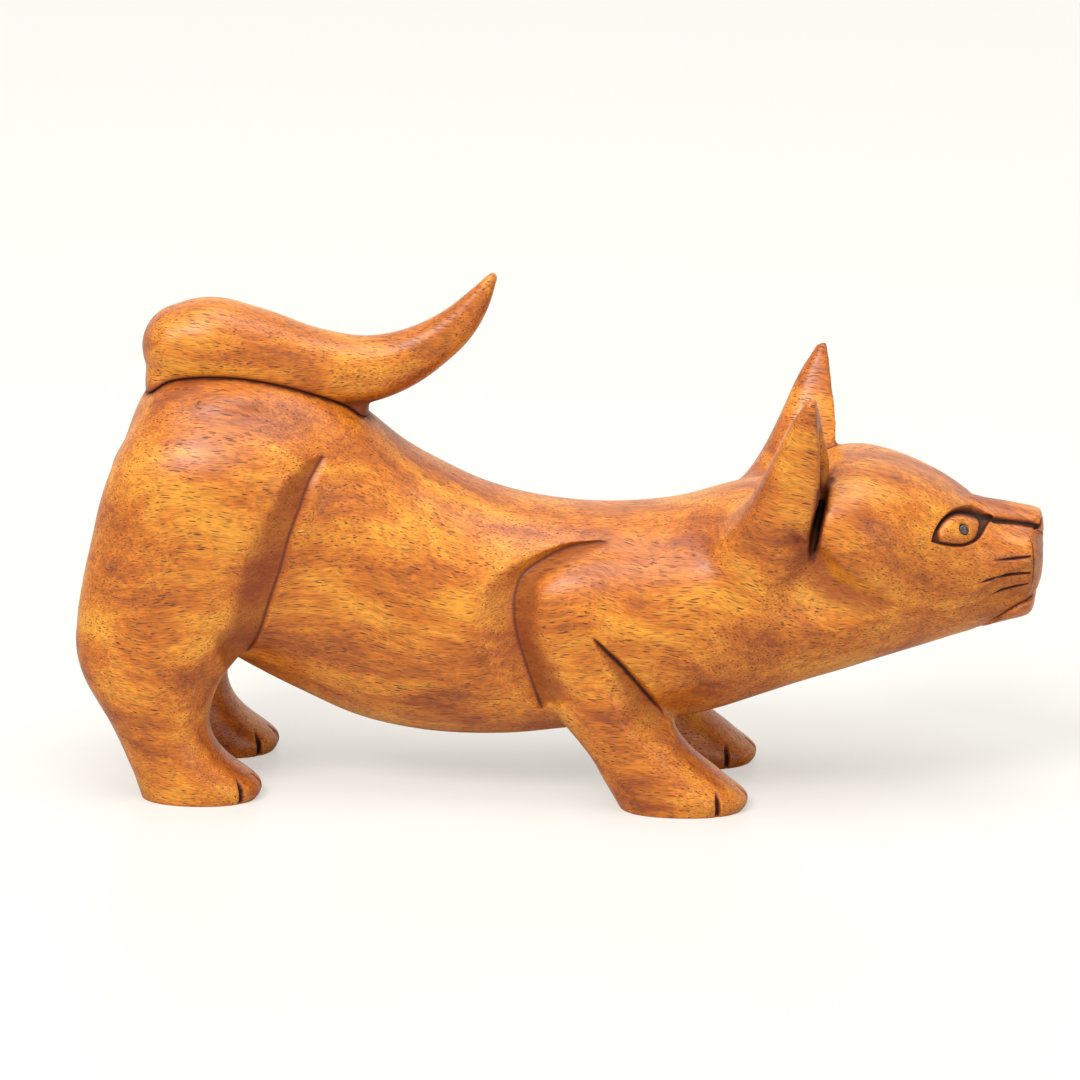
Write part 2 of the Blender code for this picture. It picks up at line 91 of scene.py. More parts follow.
@dataclass(frozen=True)
class Slice:
    """An upright outline across the block at x, in millimetres."""

    x: float
    top: float
    bottom: float
    half_width: float
    out: float = 0.0

    def ring(self) -> tuple[float, ...]:
        """The outline's middle, half depth and half width."""
        middle = (self.top + self.bottom) / 2
        return (self.x, self.out, middle, (self.top - self.bottom) / 2, self.half_width)


@dataclass(frozen=True)
class Level:
    """A flat outline at height z, in millimetres."""

    z: float
    back: float
    front: float
    out: float
    half_width: float

    def ring(self) -> tuple[float, ...]:
        """The outline's middle, half depth and half width."""
        middle = (self.back + self.front) / 2
        return (middle, self.out, self.z, (self.front - self.back) / 2, self.half_width)


@dataclass(frozen=True)
class SlotLevel:
    """The slot between an ear and the cheek at height z, in millimetres.

    Its rear wall, the ear's rim, runs from rear_inside at inside to rear_outside at the outer side.
    """

    z: float
    inside: float
    rear_inside: float
    rear_outside: float
    front: float


@dataclass(frozen=True)
class Bend:
    """A point on a form's own path in the middle plane, with its thickness across the path."""

    x: float
    z: float
    half_depth: float
    half_width: float

    def ring(self) -> tuple[float, ...]:
        """The outline's middle, half depth and half width."""
        return (self.x, 0.0, self.z, self.half_depth, self.half_width)


def through(rows: np.ndarray, step: float) -> np.ndarray:
    """Lay a smooth curve through rows.

    Args:
        rows: One row per mark, whose first three values are its place.
        step: The distance between the rows that come back, in millimetres.

    Returns:
        Rows along the curve, from the first mark to the last.
    """
    rows = np.asarray(rows, float)
    steps = np.linalg.norm(np.diff(rows[:, :3], axis=0), axis=1)
    run = np.concatenate([[0], np.cumsum(steps)])
    slopes = np.gradient(rows, run, axis=0)
    at = np.linspace(0, run[-1], max(2, round(run[-1] / step)) + 1)
    i = np.clip(np.searchsorted(run, at, side="right") - 1, 0, len(run) - 2)
    gap = (run[i + 1] - run[i])[:, None]
    t = (at - run[i])[:, None] / gap
    return (
        (1 + 2 * t) * (1 - t) ** 2 * rows[i]
        + t * (1 - t) ** 2 * gap * slopes[i]
        + t**2 * (3 - 2 * t) * rows[i + 1]
        + t**2 * (t - 1) * gap * slopes[i + 1]
    )


def path_on(marks: tuple[tuple[float, ...], ...], step: float) -> np.ndarray:
    """Lay a smooth curve through marks that are drawn on a view.

    Args:
        marks: Two coordinates and some values for each mark.
        step: The distance between the rows that come back, in millimetres.

    Returns:
        Rows of the two coordinates, zero and the values.
    """
    return through([(first, second, 0, *values) for first, second, *values in marks], step)


def join_rings(bm: bmesh.types.BMesh, rings: list[list], tip: bmesh.types.BMVert | None = None) -> None:
    """Join rings of vertices into one closed shell.

    Args:
        bm: The mesh under way.
        rings: The rings, alike in their number of vertices.
        tip: A vertex that closes the last ring, or None for a flat end.
    """
    for low, high in zip(rings, rings[1:]):
        for k in range(len(low)):
            n = (k + 1) % len(low)
            bm.faces.new((low[k], low[n], high[n], high[k]))
    bm.faces.new(rings[0][::-1])
    last = rings[-1]
    if tip is None:
        bm.faces.new(last)
    else:
        for k in range(len(last)):
            bm.faces.new((last[k], last[(k + 1) % len(last)], tip))


@dataclass(frozen=True)
class Form:
    """One rounded form of the block, drawn by its outlines.

    Attributes:
        outlines: Slices, levels or bends, from one end to the other.
        caps: How far the first and the last end are rounded off, in millimetres.
        side: 1 for the left side or the middle, -1 for a form mirrored to the right side.
        squareness: 2 for an ellipse across, more for squarer shoulders.
    """

    outlines: tuple[Slice | Level | Bend, ...]
    caps: tuple[float, float]
    side: int = 1
    squareness: float = 2.2

    RING_SIDES = 64
    RING_STEP = 1.5
    CAP_RINGS = 7
    CAP_SWEEP = 0.96

    def headings(self, rows: np.ndarray) -> np.ndarray:
        """Which way the form runs at each row.

        Args:
            rows: The form's rows along its curve.

        Returns:
            One unit vector per row.
        """
        if isinstance(self.outlines[0], Slice):
            return np.tile([1.0, 0, 0], (len(rows), 1))
        if isinstance(self.outlines[0], Level):
            return np.tile([0, 0, np.sign(rows[-1, 2] - rows[0, 2])], (len(rows), 1))
        ways = np.gradient(rows[:, :3], axis=0)
        return ways / np.linalg.norm(ways, axis=1)[:, None]

    def add_to(self, bm: bmesh.types.BMesh) -> None:
        """Add the form as one closed shell.

        Args:
            bm: The mesh under way, in metres.
        """
        rows = through([o.ring() for o in self.outlines], self.RING_STEP)
        ways = self.headings(rows)
        ringed = list(zip(rows, ways))
        for cap, end, sign in ((self.caps[0], 0, -1), (self.caps[1], -1, 1)):
            added = []
            for k in range(1, self.CAP_RINGS + 1 if cap else 1):
                angle = k / self.CAP_RINGS * math.pi / 2 * self.CAP_SWEEP
                row = rows[end].copy()
                row[:3] += sign * cap * math.sin(angle) * ways[end]
                row[3:5] *= math.cos(angle)
                added.append((row, ways[end]))
            ringed = added[::-1] + ringed if end == 0 else ringed + added
        turn = np.linspace(0, 2 * math.pi, self.RING_SIDES, endpoint=False)
        power = 2 / self.squareness
        across = np.sign(np.cos(turn)) * np.abs(np.cos(turn)) ** power
        along = np.sign(np.sin(turn)) * np.abs(np.sin(turn)) ** power
        rings = []
        for row, way in ringed:
            up = np.array([-way[2], 0, way[0]])
            points = row[:3] + np.outer(along * row[3], up) + np.outer(across * row[4], [0, 1, 0])
            points[:, 1] *= self.side
            rings.append([bm.verts.new(point * MM) for point in points])
        join_rings(bm, rings)


@dataclass(frozen=True)
class Bevel:
    """A wide cut that is pared from both sides of the block.

    Attributes:
        marks: The path's x and z and the depth at each mark.
        left: How far the cut slopes to the left of its direction, in millimetres.
        right: How far it slopes to the right.
        edge: The tool's edge.
        stain: How much painted shade darkens it.
    """

    marks: tuple[tuple[float, float, float], ...]
    left: float
    right: float
    edge: Edge
    stain: float


@dataclass(frozen=True)
class WallCut:
    """A cut in the side of the block, whose two flat walls meet in a crease.

    Attributes:
        marks: For each mark the crease's x and z, how far it lies from the middle plane, and how
            much the walls on its left and on its right rise per millimetre.
        rounding: How widely the crease is rounded, in millimetres.
        stain: How much painted shade darkens the crease.
        wall_shades: How much painted shade darkens the wall on the left and the wall on the right.
        reach: How far from the crease the painted shade lies, in millimetres.
        sanding: How many times the walls' upper edges are sanded.
    """

    marks: tuple[tuple[float, float, float, float, float], ...]
    rounding: float = 0.4
    stain: float = 0.6
    wall_shades: tuple[float, float] = (0.34, 0.1)
    reach: float = 9.0
    sanding: int = 4


@dataclass(frozen=True)
class EyeCut:
    """An eye carved in the side of the head: a deep rim round a domed eyeball.

    Attributes:
        outline: The rim's x and z and its depth at each mark, all the way round.
        ball: The eyeball's x, z and radius: the corners outside it lie deep, with painted shade.
        dome: How far the eyeball's middle stands above the face.
        half_height: How far in from the rim the eyeball reaches its full height.
        wall: How wide the wall outside the rim is.
    """

    outline: tuple[tuple[float, float, float], ...]
    ball: tuple[float, float, float]
    dome: float = 0.5
    half_height: float = 2.8
    wall: float = 0.5


@dataclass(frozen=True)
class Stroke:
    """A fine cut along a path on the surface, alike on both sides.

    Attributes:
        marks: The path's marks, in millimetres, and the share of the full depth at each.
        view: The view that marks of three values are drawn on. None means that each mark is a ray:
            its start, its way and its share of the full depth.
    """

    marks: tuple[tuple[float, ...], ...]
    view: View | None = View.SIDE


@dataclass(frozen=True)
class Strokes:
    """Fine cuts that are made with one tool.

    Attributes:
        name: What the cuts are.
        strokes: Their paths.
        half_width: Half the width of the cut at its full depth, in millimetres.
        depth: The full depth, in millimetres.
        edge: The tool's edge.
        stain: How much painted shade darkens the cut.
    """

    name: str
    strokes: tuple[Stroke, ...]
    half_width: float
    depth: float
    edge: Edge = Edge.KNIFE
    stain: float = 0.9


def linear(code: str) -> tuple[float, float, float, float]:
    """Turn an sRGB hex colour to linear light.

    Args:
        code: The colour, such as "#c87830".

    Returns:
        Red, green, blue and an alpha of one.
    """
    parts = [int(code[k : k + 2], 16) / 255 for k in (1, 3, 5)]
    lit = [p / 12.92 if p <= 0.04045 else ((p + 0.055) / 1.055) ** 2.4 for p in parts]
    return (lit[0], lit[1], lit[2], 1.0)


def add(tree: bpy.types.NodeTree, kind: str, inputs: dict | None = None, out: int | str = 0,
        **settings: object) -> bpy.types.NodeSocket:
    """Add a node with its settings, input values and links.

    Args:
        tree: The tree that gets the node.
        kind: The node's type.
        inputs: Values, or output sockets to link, by the input's name or number.
        out: Which of the node's outputs comes back.
        settings: The node's own properties.

    Returns:
        The chosen output, or the node's first input where it has no output.
    """
    node = tree.nodes.new(kind)
    for name, value in settings.items():
        setattr(node, name, value)
    for key, value in (inputs or {}).items():
        if isinstance(value, bpy.types.NodeSocket):
            tree.links.new(value, node.inputs[key])
        else:
            node.inputs[key].default_value = value
    return node.outputs[out] if len(node.outputs) else node.inputs[0]


def maths(tree: bpy.types.NodeTree, operation: str, *values: object,
          clamp: bool = False) -> bpy.types.NodeSocket:
    """Add a sum.

    Args:
        tree: The tree that gets the node.
        operation: What is worked out.
        values: Numbers, or output sockets to link.
        clamp: Whether the result is kept from 0 to 1.

    Returns:
        The result.
    """
    inputs = dict(enumerate(values))
    return add(tree, "ShaderNodeMath", inputs, operation=operation, use_clamp=clamp)


def ranged(tree: bpy.types.NodeTree, *values: object, **settings: object) -> bpy.types.NodeSocket:
    """Add a node that maps a value from one range to another.

    Args:
        tree: The tree that gets the node.
        values: The value, the range that it comes from and the range that it goes to.
        settings: The node's own properties.

    Returns:
        The mapped value.
    """
    return add(tree, "ShaderNodeMapRange", dict(enumerate(values)), **settings)


def noise(tree: bpy.types.NodeTree, place: bpy.types.NodeSocket, scale: float = 1.0,
          out: str = "Fac", **inputs: float) -> bpy.types.NodeSocket:
    """Add noise.

    Args:
        tree: The tree that gets the node.
        place: Where it is read.
        scale: How many spots there are to a unit.
        out: Which of its outputs comes back.
        inputs: The node's other inputs.

    Returns:
        The chosen output.
    """
    return add(tree, "ShaderNodeTexNoise", {"Vector": place, "Scale": scale, **inputs}, out=out)


def blend(tree: bpy.types.NodeTree, share: bpy.types.NodeSocket, first: object,
          second: object) -> bpy.types.NodeSocket:
    """Add a mix of two colours.

    Args:
        tree: The tree that gets the node.
        share: How much of the second colour there is.
        first: A colour, or an output socket to link.
        second: The other one.

    Returns:
        The mixed colour.
    """
    inputs = {0: share, 6: first, 7: second}
    return add(tree, "ShaderNodeMix", inputs, out=2, data_type="RGBA")


def ramp(tree: bpy.types.NodeTree, value: bpy.types.NodeSocket,
         *marks: tuple[float, str]) -> bpy.types.NodeSocket:
    """Add a colour ramp.

    Args:
        tree: The tree that gets the node.
        value: What it turns into a colour.
        marks: Positions and their hex colours, from the lowest to the highest.

    Returns:
        The colour.
    """
    colour = add(tree, "ShaderNodeValToRGB", {"Fac": value})
    elements = colour.node.color_ramp.elements
    elements[0].position, elements[1].position = marks[0][0], marks[-1][0]
    for position, _ in marks[1:-1]:
        elements.new(position)
    for element, (_, code) in zip(elements, marks):
        element.color = linear(code)
    return colour


def new_material(name: str) -> tuple[bpy.types.Material, bpy.types.NodeTree, bpy.types.ShaderNode]:
    """Make a material that is nothing but a plain shader.

    Args:
        name: Its name.

    Returns:
        The material, its tree and its shader.
    """
    material = bpy.data.materials.new(name)
    material.use_nodes = True
    return material, material.node_tree, material.node_tree.nodes["Principled BSDF"]


@dataclass(frozen=True)
class VarnishedSuar:
    """Suar, a coarse-grained tropical hardwood, carved, sanded and brushed with satin varnish.

    Its vessels are wide, so they show as short dark dashes where the surface runs along the grain and
    as dots where it cuts across. The heartwood is mottled gold and brown in long soft streaks, with a
    fine curly figure here and there. Painted shade, and dirt at the tail's joint, lie dark in the cuts.

    Attributes:
        name: The material's name.
        gold: The palest early wood.
        amber: The wood's main colour.
        brown: The brown streaks.
        pore: The varnish-filled vessels.
        pale_shade_and_dirt: The colour of light painted shade and dirt, as on the pared walls.
        crease: The colour of the deepest painted shade and dirt, as in the cuts.
        grain_turn: How far the grain is turned from the length of the block, about Z, in degrees.
        bend_from: Where the grain starts to dip towards the nose, in millimetres along the block.
        bend_slope: How much it dips per millimetre from there.
        vessel_length: Spacing of the vessels along the grain, in millimetres.
        vessel_spacing: Spacing of the vessels across the grain, in millimetres.
        vessel_share: How much of that spacing a vessel takes.
        shift: Where in the log this piece was cut, in millimetres.
    """

    name: str = "varnished_suar"
    gold: str = "#ec9b2e"
    amber: str = "#cf731b"
    brown: str = "#a14d10"
    pore: str = "#4e2208"
    pale_shade_and_dirt: str = "#8a3c10"
    crease: str = "#2e1204"
    grain_turn: float = 7.0
    bend_from: float = 30.0
    bend_slope: float = 0.28
    vessel_length: float = 6.0
    vessel_spacing: float = 0.64
    vessel_share: float = 0.3
    shift: float = 0.0

    def material(self) -> bpy.types.Material:
        """Build the material.

        Returns:
            The varnished wood.
        """
        material, tree, shader = new_material(self.name)
        millimetres = add(
            tree, "ShaderNodeMapping",
            {"Vector": add(tree, "ShaderNodeTexCoord", out="Object"), "Scale": (1 / MM,) * 3},
        )
        log_place = self.log_place(tree, millimetres)

        def along_grain(length: float, width: float) -> bpy.types.NodeSocket:
            """Coordinates whose unit is a length along the grain by a width across it."""
            scale = (1 / length, 1 / width, 1 / width)
            return add(tree, "ShaderNodeMapping", {"Vector": log_place, "Scale": scale})

        colour = self.heartwood(tree, along_grain)
        pores = self.vessels(tree, along_grain)
        colour = blend(tree, pores, colour, linear(self.pore))
        # This attribute holds painted shade in the cuts and hollows, and dirt with painted shade at the
        # tail's joint.
        stain = add(tree, "ShaderNodeAttribute", out="Fac", attribute_name="stain")
        shaded_colour = ramp(tree, stain, (0.35, self.pale_shade_and_dirt), (0.85, self.crease))
        shown = maths(tree, "MULTIPLY", stain, 1.8, clamp=True)
        tree.links.new(blend(tree, shown, colour, shaded_colour), shader.inputs["Base Color"])
        # Pores, and places with painted shade and dirt, are duller, and the latter have less coat on
        # them.
        rough = maths(tree, "MULTIPLY_ADD", pores, 0.25, 0.42)
        rough = maths(tree, "MULTIPLY_ADD", stain, 0.35, rough)
        tree.links.new(rough, shader.inputs["Roughness"])
        tree.links.new(maths(tree, "MULTIPLY_ADD", stain, -0.4, 0.4), shader.inputs["Coat Weight"])
        # Vessels sink a little under the varnish, and fibres stand up about as much.
        fibre = noise(tree, along_grain(4, 0.5), Detail=2.0)
        relief = maths(tree, "MULTIPLY_ADD", pores, -1.2, fibre)
        bump = add(
            tree, "ShaderNodeBump", {"Height": relief, "Strength": 0.6, "Distance": 0.18 * MM},
        )
        tree.links.new(bump, shader.inputs["Normal"])
        shader.inputs["Specular IOR Level"].default_value = 0.32
        shader.inputs["Coat Roughness"].default_value = 0.32
        return material

    def log_place(self, tree: bpy.types.NodeTree, place: bpy.types.NodeSocket) -> bpy.types.NodeSocket:
        """Place the piece in the log that it was cut from, whose grain bends and wanders.

        Args:
            tree: The material's tree.
            place: The place in the object, in millimetres.

        Returns:
            The place in the log, with the grain along X.
        """
        apart = add(tree, "ShaderNodeSeparateXYZ", {0: place})
        # The bend comes in softly over 30 mm.
        past = maths(tree, "SMOOTH_MAX", apart, self.bend_from, 30.0)
        parts = apart.node.outputs
        raised = maths(tree, "MULTIPLY_ADD", past, self.bend_slope, parts["Z"])
        bent = add(tree, "ShaderNodeCombineXYZ", {0: parts["X"], 1: parts["Y"], 2: raised})
        turned = add(
            tree, "ShaderNodeMapping",
            {"Vector": bent, "Location": (self.shift, 0, 0),
             "Rotation": (0, 0, math.radians(self.grain_turn))},
        )
        # The grain wanders several millimetres over each 55 mm, and ripples within a few.
        sway = noise(tree, turned, 1 / 55, "Color", Detail=1.0)
        swayed = add(
            tree, "ShaderNodeVectorMath", {0: sway, 1: (0, 18, 18), 2: turned},
            operation="MULTIPLY_ADD",
        )
        ripple = noise(tree, swayed, 1 / 7, "Color", Detail=1.0)
        return add(
            tree, "ShaderNodeVectorMath", {0: ripple, 1: (0, 1.6, 1.6), 2: swayed},
            operation="MULTIPLY_ADD",
        )

    def heartwood(self, tree: bpy.types.NodeTree, along_grain: Callable) -> bpy.types.NodeSocket:
        """Mix the colour of the wood between its vessels.

        Args:
            tree: The material's tree.
            along_grain: Gives coordinates for a length along the grain and a width across it.

        Returns:
            The colour.
        """
        # Broad patches with narrow streaks in them run from brown to gold.
        figure = noise(tree, along_grain(30, 13), Detail=3.0, Roughness=0.5, Distortion=0.4)
        streak = noise(tree, along_grain(9, 1.7), Detail=3.0, Roughness=0.6)
        tone = maths(tree, "ADD", figure, maths(tree, "MULTIPLY_ADD", streak, 0.42, -0.21))
        colour = ramp(tree, tone, (0.3, self.brown), (0.48, self.amber), (0.68, self.gold))
        # The curly figure shows in some patches only.
        curl = noise(tree, along_grain(2.6, 3.4), Detail=1.0, Distortion=1.2)
        shown = ranged(tree, noise(tree, along_grain(24, 24)), 0.45, 0.62, 0.05, 0.5)
        curled = maths(tree, "MULTIPLY", ranged(tree, curl, 0.3, 0.7, -1.0, 1.0), shown)
        fibre = noise(tree, along_grain(4.0, 0.42), Detail=2.0)
        fibred = ranged(tree, fibre, 0.3, 0.7, 0.74, 1.24)
        shade = maths(tree, "MULTIPLY_ADD", curled, 0.3, fibred)
        return add(tree, "ShaderNodeVectorMath", {0: colour, "Scale": shade}, operation="SCALE")

    def vessels(self, tree: bpy.types.NodeTree, along_grain: Callable) -> bpy.types.NodeSocket:
        """Scatter the vessels, wide ones and finer ones between them.

        Args:
            tree: The material's tree.
            along_grain: Gives coordinates for a length along the grain and a width across it.

        Returns:
            How much of a vessel shows, from 0 to 1.
        """
        shown = []
        for length, width, most in (
            (self.vessel_length, self.vessel_spacing, 0.95),
            (self.vessel_length * 0.6, self.vessel_spacing * 0.7, 0.7),
        ):
            place = {"Vector": along_grain(length, width), "Scale": 1.0}
            shown.append(ranged(
                tree, add(tree, "ShaderNodeTexVoronoi", place), self.vessel_share * 0.5,
                self.vessel_share, most, 0.0, interpolation_type="SMOOTHSTEP",
            ))
        crowd = ranged(tree, noise(tree, along_grain(9, 3)), 0.35, 0.6, 0.45, 1.0)
        return maths(tree, "MULTIPLY", maths(tree, "MAXIMUM", *shown), crowd)


@dataclass(frozen=True)
class BareDowel:
    """Plain beech dowel, turned and left bare, hidden in the tail's joint."""

    name: str = "beech_dowel"
    colour: str = "#c9a06a"
    dark: str = "#a87d4a"

    def material(self) -> bpy.types.Material:
        """Build the material.

        Returns:
            The dowel wood.
        """
        material, tree, shader = new_material(self.name)
        place = add(tree, "ShaderNodeTexCoord", out="Object")
        # Fibres about 0.5 mm wide run up the dowel.
        fibres = add(tree, "ShaderNodeMapping", {"Vector": place, "Scale": (2000, 2000, 120)})
        colour = ramp(tree, noise(tree, fibres, Detail=2.0), (0, self.dark), (1, self.colour))
        tree.links.new(colour, shader.inputs["Base Color"])
        shader.inputs["Roughness"].default_value = 0.7
        return material


@dataclass(frozen=True)
class StainedPupil:
    """A hardwood plug stained grey-black and varnished with the rest, worn paler in patches."""

    name: str = "stained_pupil"
    dark: str = "#2b2926"
    worn: str = "#605b54"

    def material(self) -> bpy.types.Material:
        """Build the material.

        Returns:
            The stained wood.
        """
        material, tree, shader = new_material(self.name)
        place = add(tree, "ShaderNodeTexCoord", out="Object")
        # Worn patches about 1 mm across.
        patches = noise(tree, place, 900.0, Detail=2.0)
        colour = ramp(tree, patches, (0.42, self.dark), (0.66, self.worn))
        tree.links.new(colour, shader.inputs["Base Color"])
        shader.inputs["Roughness"].default_value = 0.35
        return material


def link(name: str, data: bpy.types.ID) -> bpy.types.Object:
    """Link a new object that shows a mesh, a lamp or a camera.

    Args:
        name: The object's name.
        data: What it shows.

    Returns:
        The new object.
    """
    obj = bpy.data.objects.new(name, data)
    bpy.context.scene.collection.objects.link(obj)
    return obj


def object_from(name: str, bm: bmesh.types.BMesh) -> bpy.types.Object:
    """Link a new object that holds a mesh under way, with its faces pointing out.

    Args:
        name: The object's name.
        bm: The mesh under way, which is freed.

    Returns:
        The new object.
    """
    bmesh.ops.recalc_face_normals(bm, faces=bm.faces)
    mesh = bpy.data.meshes.new(name)
    bm.to_mesh(mesh)
    bm.free()
    return link(name, mesh)


def apply_modifiers(obj: bpy.types.Object) -> None:
    """Replace an object's mesh by the evaluated one and clear its modifiers.

    Args:
        obj: The object.
    """
    depsgraph = bpy.context.evaluated_depsgraph_get()
    mesh = bpy.data.meshes.new_from_object(obj.evaluated_get(depsgraph))
    old = obj.data
    obj.modifiers.clear()
    obj.data = mesh
    bpy.data.meshes.remove(old)


def block_of(name: str, forms: list[Form]) -> bpy.types.Object:
    """Link a new object that holds overlapping forms.

    Args:
        name: The object's name.
        forms: The forms.

    Returns:
        The new object.
    """
    bm = bmesh.new()
    for form in forms:
        form.add_to(bm)
    return object_from(name, bm)


def fuse(obj: bpy.types.Object, grid: float, sanding: int) -> None:
    """Make one skin of an object's overlapping forms and sand it.

    Args:
        obj: The object.
        grid: How fine the skin is, in millimetres.
        sanding: How many times it is sanded.
    """
    remesh = obj.modifiers.new("Fuse", "REMESH")
    remesh.mode = "VOXEL"
    remesh.voxel_size = grid * MM
    smooth = obj.modifiers.new("Sand", "SMOOTH")
    smooth.factor = 0.5
    smooth.iterations = sanding
    apply_modifiers(obj)


def subtract(obj: bpy.types.Object, cutter: bpy.types.Object) -> None:
    """Cut a cutter's shape out of an object and remove the cutter.

    Args:
        obj: The object that is cut.
        cutter: The cutter.
    """
    boolean = obj.modifiers.new("Cut", "BOOLEAN")
    boolean.operation = "DIFFERENCE"
    boolean.solver = "MANIFOLD"
    boolean.object = cutter
    apply_modifiers(obj)
    bpy.data.objects.remove(cutter)


def thin_out(obj: bpy.types.Object, triangles: int, plain: np.ndarray) -> None:
    """Keep about a number of triangles, the most where the shape turns.

    Args:
        obj: The object.
        triangles: The number of triangles to keep.
        plain: Whether each vertex may go.
    """
    triangulate = obj.modifiers.new("Triangulate", "TRIANGULATE")
    triangulate.quad_method = "BEAUTY"
    apply_modifiers(obj)
    if len(obj.data.polygons) > triangles:
        decimate = obj.modifiers.new("Thin", "DECIMATE")
        decimate.ratio = triangles / len(obj.data.polygons)
        group = obj.vertex_groups.new(name="plain")
        group.add(np.flatnonzero(plain).tolist(), 1.0, "REPLACE")
        decimate.vertex_group = group.name
        apply_modifiers(obj)
        obj.vertex_groups.clear()


def drop_slivers(obj: bpy.types.Object) -> None:
    """Make triangles of an object's faces, and drop those that a cut left without any width.

    Args:
        obj: The object.
    """
    bm = bmesh.new()
    bm.from_mesh(obj.data)
    bmesh.ops.triangulate(bm, faces=bm.faces)
    bmesh.ops.dissolve_degenerate(bm, dist=SLIVER * MM, edges=bm.edges)
    stray = [face for face in bm.faces if all(edge.is_boundary for edge in face.edges)]
    bmesh.ops.delete(bm, geom=stray, context="FACES")
    bmesh.ops.triangulate(bm, faces=bm.faces)
    bm.to_mesh(obj.data)
    bm.free()


def tree_of(obj: bpy.types.Object) -> BVHTree:
    """The object's surface, ready for rays.

    Args:
        obj: The object.

    Returns:
        Its search tree.
    """
    mesh = obj.data
    return BVHTree.FromPolygons([v.co for v in mesh.vertices], [p.vertices for p in mesh.polygons])


def pin(name: str, place: Vector, way: Vector, diameter: float, length: float, sides: int,
        dome: float = 0.0) -> bpy.types.Object:
    """Make a round pin centred at a place, with its place held in its mesh.

    Args:
        name: The object's name.
        place: The pin's middle, in metres.
        way: Which way its length runs.
        diameter: In millimetres.
        length: In millimetres.
        sides: How many sides it has round it.
        dome: How high its far end is domed, in millimetres.

    Returns:
        The pin.
    """
    radius, half = diameter / 2, length / 2
    levels = [(-half, radius), (half - dome, radius)]
    if dome:
        for angle in np.linspace(0, math.pi / 2, 7)[1:-1]:
            levels.append((half - dome + dome * math.sin(angle), radius * math.cos(angle)))
    bm = bmesh.new()
    rings = []
    for z, r in levels:
        ring = bmesh.ops.create_circle(bm, segments=sides, radius=r * MM)["verts"]
        bmesh.ops.translate(bm, vec=(0, 0, z * MM), verts=ring)
        rings.append(ring)
    join_rings(bm, rings, bm.verts.new((0, 0, half * MM)) if dome else None)
    turn = Vector((0, 0, 1)).rotation_difference(way).to_matrix().to_4x4()
    bmesh.ops.transform(bm, matrix=Matrix.Translation(place) @ turn, verts=bm.verts)
    return object_from(name, bm)


def dress(obj: bpy.types.Object, material: bpy.types.Material, slot: str, *nodes: str) -> None:
    """Finish a piece: shade it, give it its material and tie it to the frame.

    Args:
        obj: The piece.
        material: Its material.
        slot: The record's material slot; not used.
        nodes: The CAD nodes that it replaces.
    """
    obj.data.materials.clear()
    obj.data.materials.append(material)
    obj.data.shade_smooth()
    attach(obj, "root")
    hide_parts(*nodes)
    log.info("%s: %d faces, stands for %s", obj.name, len(obj.data.polygons), ", ".join(nodes))


def surface(obj: bpy.types.Object) -> tuple[np.ndarray, np.ndarray]:
    """Read an object's vertices.

    Args:
        obj: The object.

    Returns:
        The places, in millimetres, and the normals.
    """
    mesh = obj.data
    places = np.empty(len(mesh.vertices) * 3)
    normals = np.empty(len(mesh.vertices) * 3)
    mesh.vertices.foreach_get("co", places)
    mesh.vertices.foreach_get("normal", normals)
    return places.reshape(-1, 3) / MM, normals.reshape(-1, 3)


def move_to(obj: bpy.types.Object, places: np.ndarray) -> None:
    """Write an object's vertices.

    Args:
        obj: The object.
        places: The places, in millimetres.
    """
    obj.data.vertices.foreach_set("co", (places * MM).ravel())
    obj.data.update()


def shade_and_dirt_of(obj: bpy.types.Object) -> np.ndarray:
    """Read how much painted shade and dirt darken each vertex, none if there is none yet."""
    layer = obj.data.attributes.get("stain")
    values = np.zeros(len(obj.data.vertices))
    if layer:
        layer.data.foreach_get("value", values)
    return values


def set_shade_and_dirt(obj: bpy.types.Object, values: np.ndarray) -> None:
    """Write how much painted shade and dirt darken each vertex.

    Args:
        obj: The object.
        values: One value per vertex, from 0 to 1.
    """
    layer = obj.data.attributes.get("stain") or obj.data.attributes.new("stain", "FLOAT", "POINT")
    layer.data.foreach_set("value", values.astype(np.float32))


def pare(obj: bpy.types.Object, bevel: Bevel) -> None:
    """Pare one wide cut from both sides of an object.

    Args:
        obj: The object.
        bevel: The cut.
    """
    places, normals = surface(obj)
    gap, left, values = beside(places[:, [0, 2]], path_on(bevel.marks, 1.0))
    depth = values[:, 0]
    share = np.clip(1 - gap / np.where(left, bevel.left, bevel.right), 0, 1) ** bevel.edge.value
    facing = normals[:, 1] * np.sign(places[:, 1])
    share *= np.clip(facing * 3 + 0.2, 0, 1)
    move_to(obj, places - normals * (share * depth)[:, None])
    # The pared places get painted shade, the darkest where the cut is deep.
    stain = bevel.stain * np.clip(share * 1.5 - 0.5, 0, 1) * np.clip(depth, 0, 1)
    set_shade_and_dirt(obj, np.maximum(shade_and_dirt_of(obj), stain))


